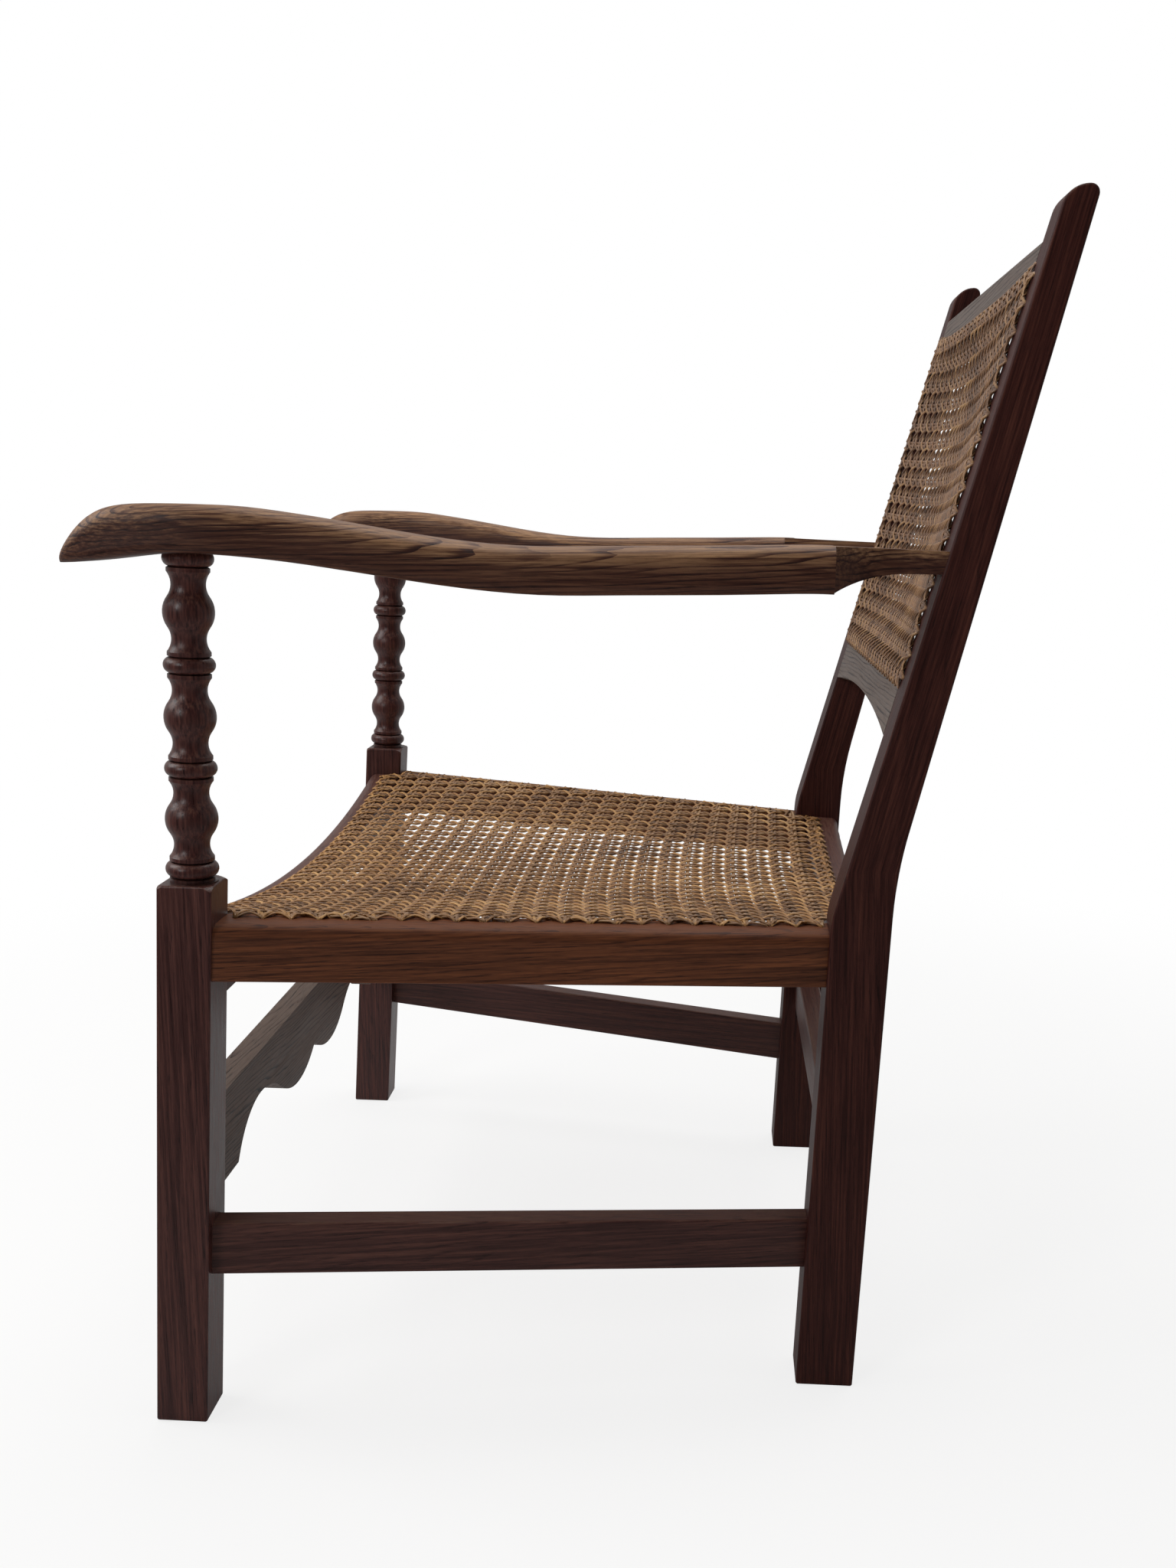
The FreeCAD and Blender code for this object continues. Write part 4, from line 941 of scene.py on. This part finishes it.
    def pairs(self) -> list[list[Vector]]:
        """Draw the doubled strands along and across, each over one strand of a pair and under the other.

        Returns:
            The strands' points.
        """
        half = 0.5 * self.pair_spacing
        lift = self.pair_lift * self.strand_thickness
        strands = []
        for column in range(-self.columns, self.columns + 1):
            for side in (-1, 1):
                start = Vector((column * self.across + side * half, -OUTSIDE))
                knots = []
                for row in range(self.rows):
                    at = OUTSIDE + (row + 0.5) * self.along
                    knots += [(at - half, lift * side), (at + half, -lift * side)]
                    knots.append((at + 0.5 * self.along, 0.0))
                strands.append(self.strand(start, ALONG, knots, self.pair_hold, self.pair_rise))
        for row in range(self.rows):
            for side in (-1, 1):
                start = Vector((-OUTSIDE, (row + 0.5) * self.along + side * half))
                knots = []
                for column in range(1 - self.columns - self.spare, self.columns + self.spare):
                    at = OUTSIDE + column * self.across
                    knots += [(at - half, -lift * side), (at + half, lift * side)]
                    knots.append((at + 0.5 * self.across, 0.0))
                strands.append(self.strand(start, ACROSS, knots, self.pair_hold, self.pair_rise))
        return [strand for strand in strands if strand]

    def diagonals(self) -> list[list[Vector]]:
        """Draw both diagonals, which cross on the pairs half way between the pairs' own crossings.

        Returns:
            The strands' points.
        """
        lift = self.diagonal_lift * self.strand_thickness
        reach = self.columns + self.rows + self.spare
        strands = []
        for slope in (-1, 1):
            step = Vector((self.across, slope * self.along))
            way = step.normalized()
            knots = [
                ((turn + share) * step.length, -slope * lift * height)
                for turn in range(2 * reach)
                for share, height in self.diagonal_wave
            ]
            for count in range(-2 * reach, 2 * reach):
                low = Vector((count * self.across, 0.0)) - step * reach
                strands.append(self.strand(low, way, knots, self.diagonal_hold, self.strand_thickness))
        return [strand for strand in strands if strand]

    def arches(self) -> list[list[Vector]]:
        """Draw the crossing ends of the diagonals as arches from each hole to the next along an edge.

        Returns:
            The strands' points.
        """
        middle = Vector((0.0, 0.5 * self.length()))
        strands = []
        for hole in self.holes:
            ahead = [other for other in self.holes if self.follows(hole, other)]
            if not ahead:
                continue
            following = min(ahead, key=lambda other: (other - hole).length)
            chord = following - hole
            inward = Vector((-chord.y, chord.x)).normalized()
            if inward.dot(middle - hole) < 0.0:
                inward = -inward
            bulge = self.arch_reach + self.chance.gauss(0.0, self.uneven_arch)
            strand = [Vector((*hole, self.hole_depth))]
            for step in range(self.arch_steps + 1):
                share = step / self.arch_steps
                crown = math.sin(math.pi * share)
                spot = hole + chord * share + inward * (bulge * crown)
                height = self.hole_rest + (self.arch_rise - self.hole_rest) * crown
                strand.append(Vector((*spot, height)))
            strands.append(strand + [Vector((*following, self.hole_depth))])
        return strands

    def follows(self, hole: Vector, other: Vector) -> bool:
        """Tell whether a hole is the next one along the same edge, to the left or to the rear.

        Args:
            hole: A hole on the flat panel.
            other: Another hole.

        Returns:
            True where the other lies within a pitch and a half, further along.
        """
        way = other - hole
        nearest, furthest = self.next_hole
        if way.length > furthest * max(self.across, self.along) or way.length < nearest * self.along:
            return False
        return way.y > self.backward * way.length or way.x > self.leftward * way.length

    def shaped(self, point: Vector) -> Vector:
        """Keep a point of the regular weave where it is; a panel whose line of holes differs moves it."""
        return point

    def values(self) -> dict[str, object]:
        """Give the sizes of the strands and of the scoop.

        Returns:
            Inputs of the weave tree by name.
        """
        return {
            "Strand Width": self.strand_width,
            "Strand Thickness": self.strand_thickness,
            "Front Dip": self.front_dip,
            "Rear Dip": self.rear_dip,
            "Middle Sag": self.middle_sag,
            "Skew": self.skew,
            "Bow": self.bow,
            "Front Half Width": self.opening(),
            "Narrowing": self.narrowing,
            "Length": self.length(),
            "Margin": self.overlap,
        }

    def build(self, tree: WeaveTree) -> None:
        """Weave the panel and let it stand for its plain solid.

        Args:
            tree: The Geometry Nodes that lay the strands.
        """
        layers = (
            ("pairs", self.pairs(), self.pair_finish),
            ("diagonals", self.diagonals() + self.arches(), self.diagonal_finish),
        )
        for part, flat_paths, finish in layers:
            paths = [[self.shaped(point) for point in path] for path in flat_paths]
            values = self.values() | {"Cane": finish.material()}
            piece = tree.lay(f"{self.name}_{part}", paths, values, self.place())
            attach(piece, "root")
            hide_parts(self.node)
            LOG.info("%s: %d strands, %d faces", piece.name, len(paths), len(piece.data.polygons))


@dataclass
class SeatCane(CanePanel):
    """The caned seat: wider in front, scooped between its side rails."""

    name: str = "seat_weave"
    node: str = "seat_cane"
    across: float = 18.0 * MM
    along: float = 469.25 / 25 * MM
    columns: int = 16
    rows: int = 25
    seed: int = 21
    tilt: float = -2.424
    front_dip: float = 32.8 * MM
    rear_dip: float = 14.2 * MM
    middle_sag: float = -2.0 * MM
    bow: float = 13.0 * MM
    narrowing: float = 0.20327
    front_half_width: float = 300.07 * MM
    leg_half_gap: float = 293.0 * MM
    post_half_gap: float = 204.0 * MM
    leg_back: float = 20.0 * MM
    post_front: float = 445.0 * MM
    origin: Vector = field(default_factory=lambda: Vector((0.0, -242.4, 380.0)) * MM)

    def opening(self) -> float:
        """Half the distance between the side rails in front."""
        return self.front_half_width

    def edge(self, y: float) -> float:
        """Half the distance between the side holes, this far behind the front holes."""
        return self.front_half_width + self.overlap - self.narrowing * y

    def outline(self) -> list[Vector]:
        """Find the corners of the line of holes, notched round the legs and posts.

        Returns:
            The corners in order round the panel.
        """
        left = [
            Vector((self.leg_half_gap, 0.0)),
            Vector((self.leg_half_gap, self.leg_back)),
            Vector((self.edge(self.leg_back), self.leg_back)),
            Vector((self.edge(self.post_front), self.post_front)),
            Vector((self.post_half_gap, self.post_front)),
            Vector((self.post_half_gap, self.length())),
        ]
        return left + [Vector((-corner.x, corner.y)) for corner in reversed(left)]

    def place(self) -> Matrix:
        """Where the flat panel lies: on the rails, falling to the rear."""
        turn = Matrix.Rotation(math.radians(self.tilt), 4, "X")
        return Matrix.Translation(self.origin) @ turn @ Matrix.Translation((0.0, -self.leg_back, self.lift))


@dataclass
class BackCane(CanePanel):
    """The caned back: between the posts and the cross rails, sagging to the rear, most on the right."""

    name: str = "back_weave"
    node: str = "back_cane"
    across: float = 435.0 / 25 * MM
    along: float = 287.3 / 17 * MM
    columns: int = 12
    rows: int = 17
    seed: int = 34
    tilt: float = -14.8
    strand_width: float = 2.4 * MM
    strand_thickness: float = 1.4 * MM
    pair_spacing: float = 2.8 * MM
    middle_sag: float = 18.5 * MM
    skew: float = 0.5
    pair_finish: CaneFinish = DUSTY_CANE
    diagonal_finish: CaneFinish = DARKENED_CANE
    half_width: float = 217.5 * MM
    first_row: float = 170.1 * MM
    origin: Vector = field(default_factory=lambda: Vector((0.0, 183.07, 373.0)) * MM)
    # How far the top line of holes climbs, how steeply, and over which top part of the panel, a quarter.
    corner_rise: float = 9.0 * MM
    corner_power: int = 4
    parts: float = 4.0

    def opening(self) -> float:
        """Half the distance between the posts."""
        return self.half_width - self.overlap

    def outline(self) -> list[Vector]:
        """Find the corners of the line of holes.

        Returns:
            The corners in order round the panel.
        """
        return [
            Vector((-self.half_width, 0.0)),
            Vector((self.half_width, 0.0)),
            Vector((self.half_width, self.length())),
            Vector((-self.half_width, self.length())),
        ]

    def shaped(self, point: Vector) -> Vector:
        """Let the top line of holes climb towards the posts.

        Args:
            point: A point of the regular weave.

        Returns:
            The point, raised near the upper corners.
        """
        beside = min(1.0, abs(point.x) / self.half_width) ** self.corner_power
        above = max(0.0, self.parts * point.y / self.length() - (self.parts - 1.0))
        return point + Vector((0.0, self.corner_rise * beside * above, 0.0))

    def place(self) -> Matrix:
        """Find where the flat panel lies: on the front of the posts, leaning back with them.

        Returns:
            The way from the flat panel to its place.
        """
        lean = Matrix.Rotation(math.radians(self.tilt), 4, "X")
        stand = Matrix.Rotation(math.radians(90.0), 4, "X")
        up = Matrix.Translation((0.0, self.first_row, self.lift))
        return Matrix.Translation(self.origin) @ lean @ stand @ up


@dataclass
class PhotoCamera:
    """The camera, where the photograph was taken; angles in radians, focal and centre in its pixels."""

    station: Vector = field(default_factory=lambda: Vector((1290.0, 90.9, 651.5)) * MM)
    yaw: float = 0.0604
    pitch: float = 0.2343
    roll: float = 0.0122
    focal: float = 1946.02
    centre: Span = (805.30, 1144.83)
    frame_size: tuple[int, int] = (1536, 2048)
    sensor: float = 36.0
    nearest: float = 0.05

    def build(self) -> None:
        """Set the camera up as the scene's own."""
        ahead = Vector((-math.cos(self.yaw), -math.sin(self.yaw), 0.0))
        right = Vector((-math.sin(self.yaw), math.cos(self.yaw), 0.0))
        up = Vector((0.0, 0.0, 1.0))
        look = ahead * math.cos(self.pitch) - up * math.sin(self.pitch)
        rise = up * math.cos(self.pitch) + ahead * math.sin(self.pitch)
        side = right * math.cos(self.roll) + rise * math.sin(self.roll)
        top = rise * math.cos(self.roll) - right * math.sin(self.roll)
        width, height = self.frame_size
        data = bpy.data.cameras.new("photo_camera")
        data.sensor_fit = "HORIZONTAL"
        data.sensor_width = self.sensor
        data.lens = self.focal * self.sensor / width
        data.shift_x = (0.5 * width - self.centre[0]) / width
        data.shift_y = (self.centre[1] - 0.5 * height) / width
        data.clip_start = self.nearest
        camera = new_object("photo_camera", data)
        turn = Matrix((side, top, -look)).transposed().to_4x4()
        camera.matrix_world = Matrix.Translation(self.station) @ turn
        bpy.context.scene.camera = camera


@dataclass
class Lamp:
    """One soft box: where it stands, its size and its power."""

    name: str
    station: Vector
    size: float
    power: float


@dataclass
class Studio:
    """A white room: pale floor, soft boxes, and a plain white background behind the chair."""

    floor_size: float = 60.0
    floor_drop: float = 0.4 * MM
    floor_colour: str = "#f2f1ef"
    # The floor glows this much under the chair, and fully white beyond these distances.
    near_glow: float = 0.8
    clear_from: float = 0.6
    clear_to: float = 1.6
    daylight: float = 0.5
    # The room's ends as the chair mirrors them, and where one fades into the other.
    mirrored_wall: float = 0.5
    dark_wall: float = 0.1
    floor_fade: Span = (-0.2, 0.7)
    wall_fade: Span = (-0.1, 0.6)
    target: Vector = field(default_factory=lambda: Vector((0.0, 0.0, 0.42)))
    lamps: list[Lamp] = field(default_factory=lambda: [
        Lamp("key_box", Vector((0.2, -2.2, 2.2)), 1.8, 34.0),
        Lamp("top_box", Vector((-0.5, 0.3, 2.9)), 2.2, 30.0),
        Lamp("fill_box", Vector((2.4, -1.7, 1.7)), 1.0, 20.0),
    ])

    def build(self) -> None:
        """Lay the floor, hang the lamps and set the world."""
        self.lay_floor()
        for lamp in self.lamps:
            self.hang(lamp)
        self.set_world()
        bpy.context.scene.view_settings.view_transform = "Standard"

    def seen(self, tree: NodeTree) -> NodeSocket:
        """Find the rays that show the background: straight, mirrored or through glass.

        Args:
            tree: The floor's tree.

        Returns:
            One for those rays and nought for the rest.
        """
        path = add(tree, "ShaderNodeLightPath").node.outputs
        shown = add(
            tree, "ShaderNodeMath", [path["Is Camera Ray"], path["Is Glossy Ray"]], operation="MAXIMUM",
        )
        return add(tree, "ShaderNodeMath", [shown, path["Is Transmission Ray"]], operation="MAXIMUM")

    def lay_floor(self) -> None:
        """Lay a sheet of white paper that keeps the chair's soft shadow."""
        half = 0.5 * self.floor_size
        mesh = bpy.data.meshes.new("floor")
        corners = [
            (x * half, y * half, -self.floor_drop) for x, y in ((-1, -1), (1, -1), (1, 1), (-1, 1))
        ]
        mesh.from_pydata(corners, [], [(0, 1, 2, 3)])
        floor = new_object("floor", mesh)
        material, tree = new_material("White_paper")
        matt = add(tree, "ShaderNodeBsdfDiffuse", {"Color": linear(self.floor_colour)})
        place = add(tree, "ShaderNodeTexCoord", out="Object")
        away = add(tree, "ShaderNodeVectorMath", [place], operation="LENGTH", out="Value")
        white = add(
            tree, "ShaderNodeMapRange", [away, self.clear_from, self.clear_to, self.near_glow, 1.0],
            interpolation_type="SMOOTHSTEP",
        )
        side = add(tree, "ShaderNodeSeparateXYZ", [place])
        wall = add(
            tree, "ShaderNodeMapRange", [side, *self.floor_fade, self.mirrored_wall, 0.5 * self.dark_wall],
            interpolation_type="SMOOTHSTEP",
        )
        mirrored = add(tree, "ShaderNodeLightPath", out="Is Glossy Ray")
        level = add(tree, "ShaderNodeMix", {0: mirrored, 2: 1.0, 3: wall}, data_type="FLOAT")
        glow = add(tree, "ShaderNodeEmission", {"Color": WHITE, "Strength": level})
        share = add(tree, "ShaderNodeMath", [self.seen(tree), white], operation="MULTIPLY")
        mixed = add(tree, "ShaderNodeMixShader", [share, matt, glow])
        add(tree, "ShaderNodeOutputMaterial", {"Surface": mixed})
        mesh.materials.append(material)

    def hang(self, lamp: Lamp) -> None:
        """Hang one soft box, turned to the chair.

        Args:
            lamp: The soft box.
        """
        data = bpy.data.lights.new(lamp.name, "AREA")
        data.shape = "DISK"
        data.size = lamp.size
        data.energy = lamp.power
        box = new_object(lamp.name, data)
        box.location = lamp.station
        box.rotation_euler = (self.target - lamp.station).to_track_quat("-Z", "Y").to_euler()

    def set_world(self) -> None:
        """Light the room from its white end, dim behind the camera, and show white where nothing stands."""
        world = bpy.data.worlds.new("white_room")
        bpy.context.scene.world = world
        world.use_nodes = True
        tree = world.node_tree
        tree.nodes.clear()
        way = add(tree, "ShaderNodeTexCoord", out="Generated")
        side = add(tree, "ShaderNodeSeparateXYZ", [way])
        wall = add(
            tree, "ShaderNodeMapRange", [side, *self.wall_fade, 1.0, self.dark_wall],
            interpolation_type="SMOOTHSTEP",
        )
        path = add(tree, "ShaderNodeLightPath").node.outputs
        even = add(tree, "ShaderNodeMath", [wall, self.daylight], operation="MULTIPLY")
        mirrored = add(tree, "ShaderNodeMath", [wall, self.mirrored_wall], operation="MULTIPLY")
        level = add(
            tree, "ShaderNodeMix", {0: path["Is Glossy Ray"], 2: even, 3: mirrored}, data_type="FLOAT",
        )
        shown = add(
            tree, "ShaderNodeMath", [path["Is Camera Ray"], path["Is Transmission Ray"]],
            operation="MAXIMUM",
        )
        level = add(tree, "ShaderNodeMix", {0: shown, 2: level, 3: 1.0}, data_type="FLOAT")
        room = add(tree, "ShaderNodeBackground", {"Color": WHITE, "Strength": level})
        add(tree, "ShaderNodeOutputWorld", {"Surface": room})


def main() -> None:
    """Dress the woodwork, weave the cane, and set the studio and the camera."""
    logging.basicConfig(level=logging.INFO, format="%(name)s: %(message)s")
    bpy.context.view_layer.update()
    woodwork = (
        FrontLegs(), RearPosts(), CrossPieces(), FrontStretcher(),
        BackRails(), SideRails(), Arms(), Dowels(),
    )
    for group in woodwork:
        group.dress()
    tree = WeaveTree()
    for panel in (SeatCane(), BackCane()):
        panel.build(tree)
    Studio().build()
    PhotoCamera().build()


if __name__ == "__main__":
    main()
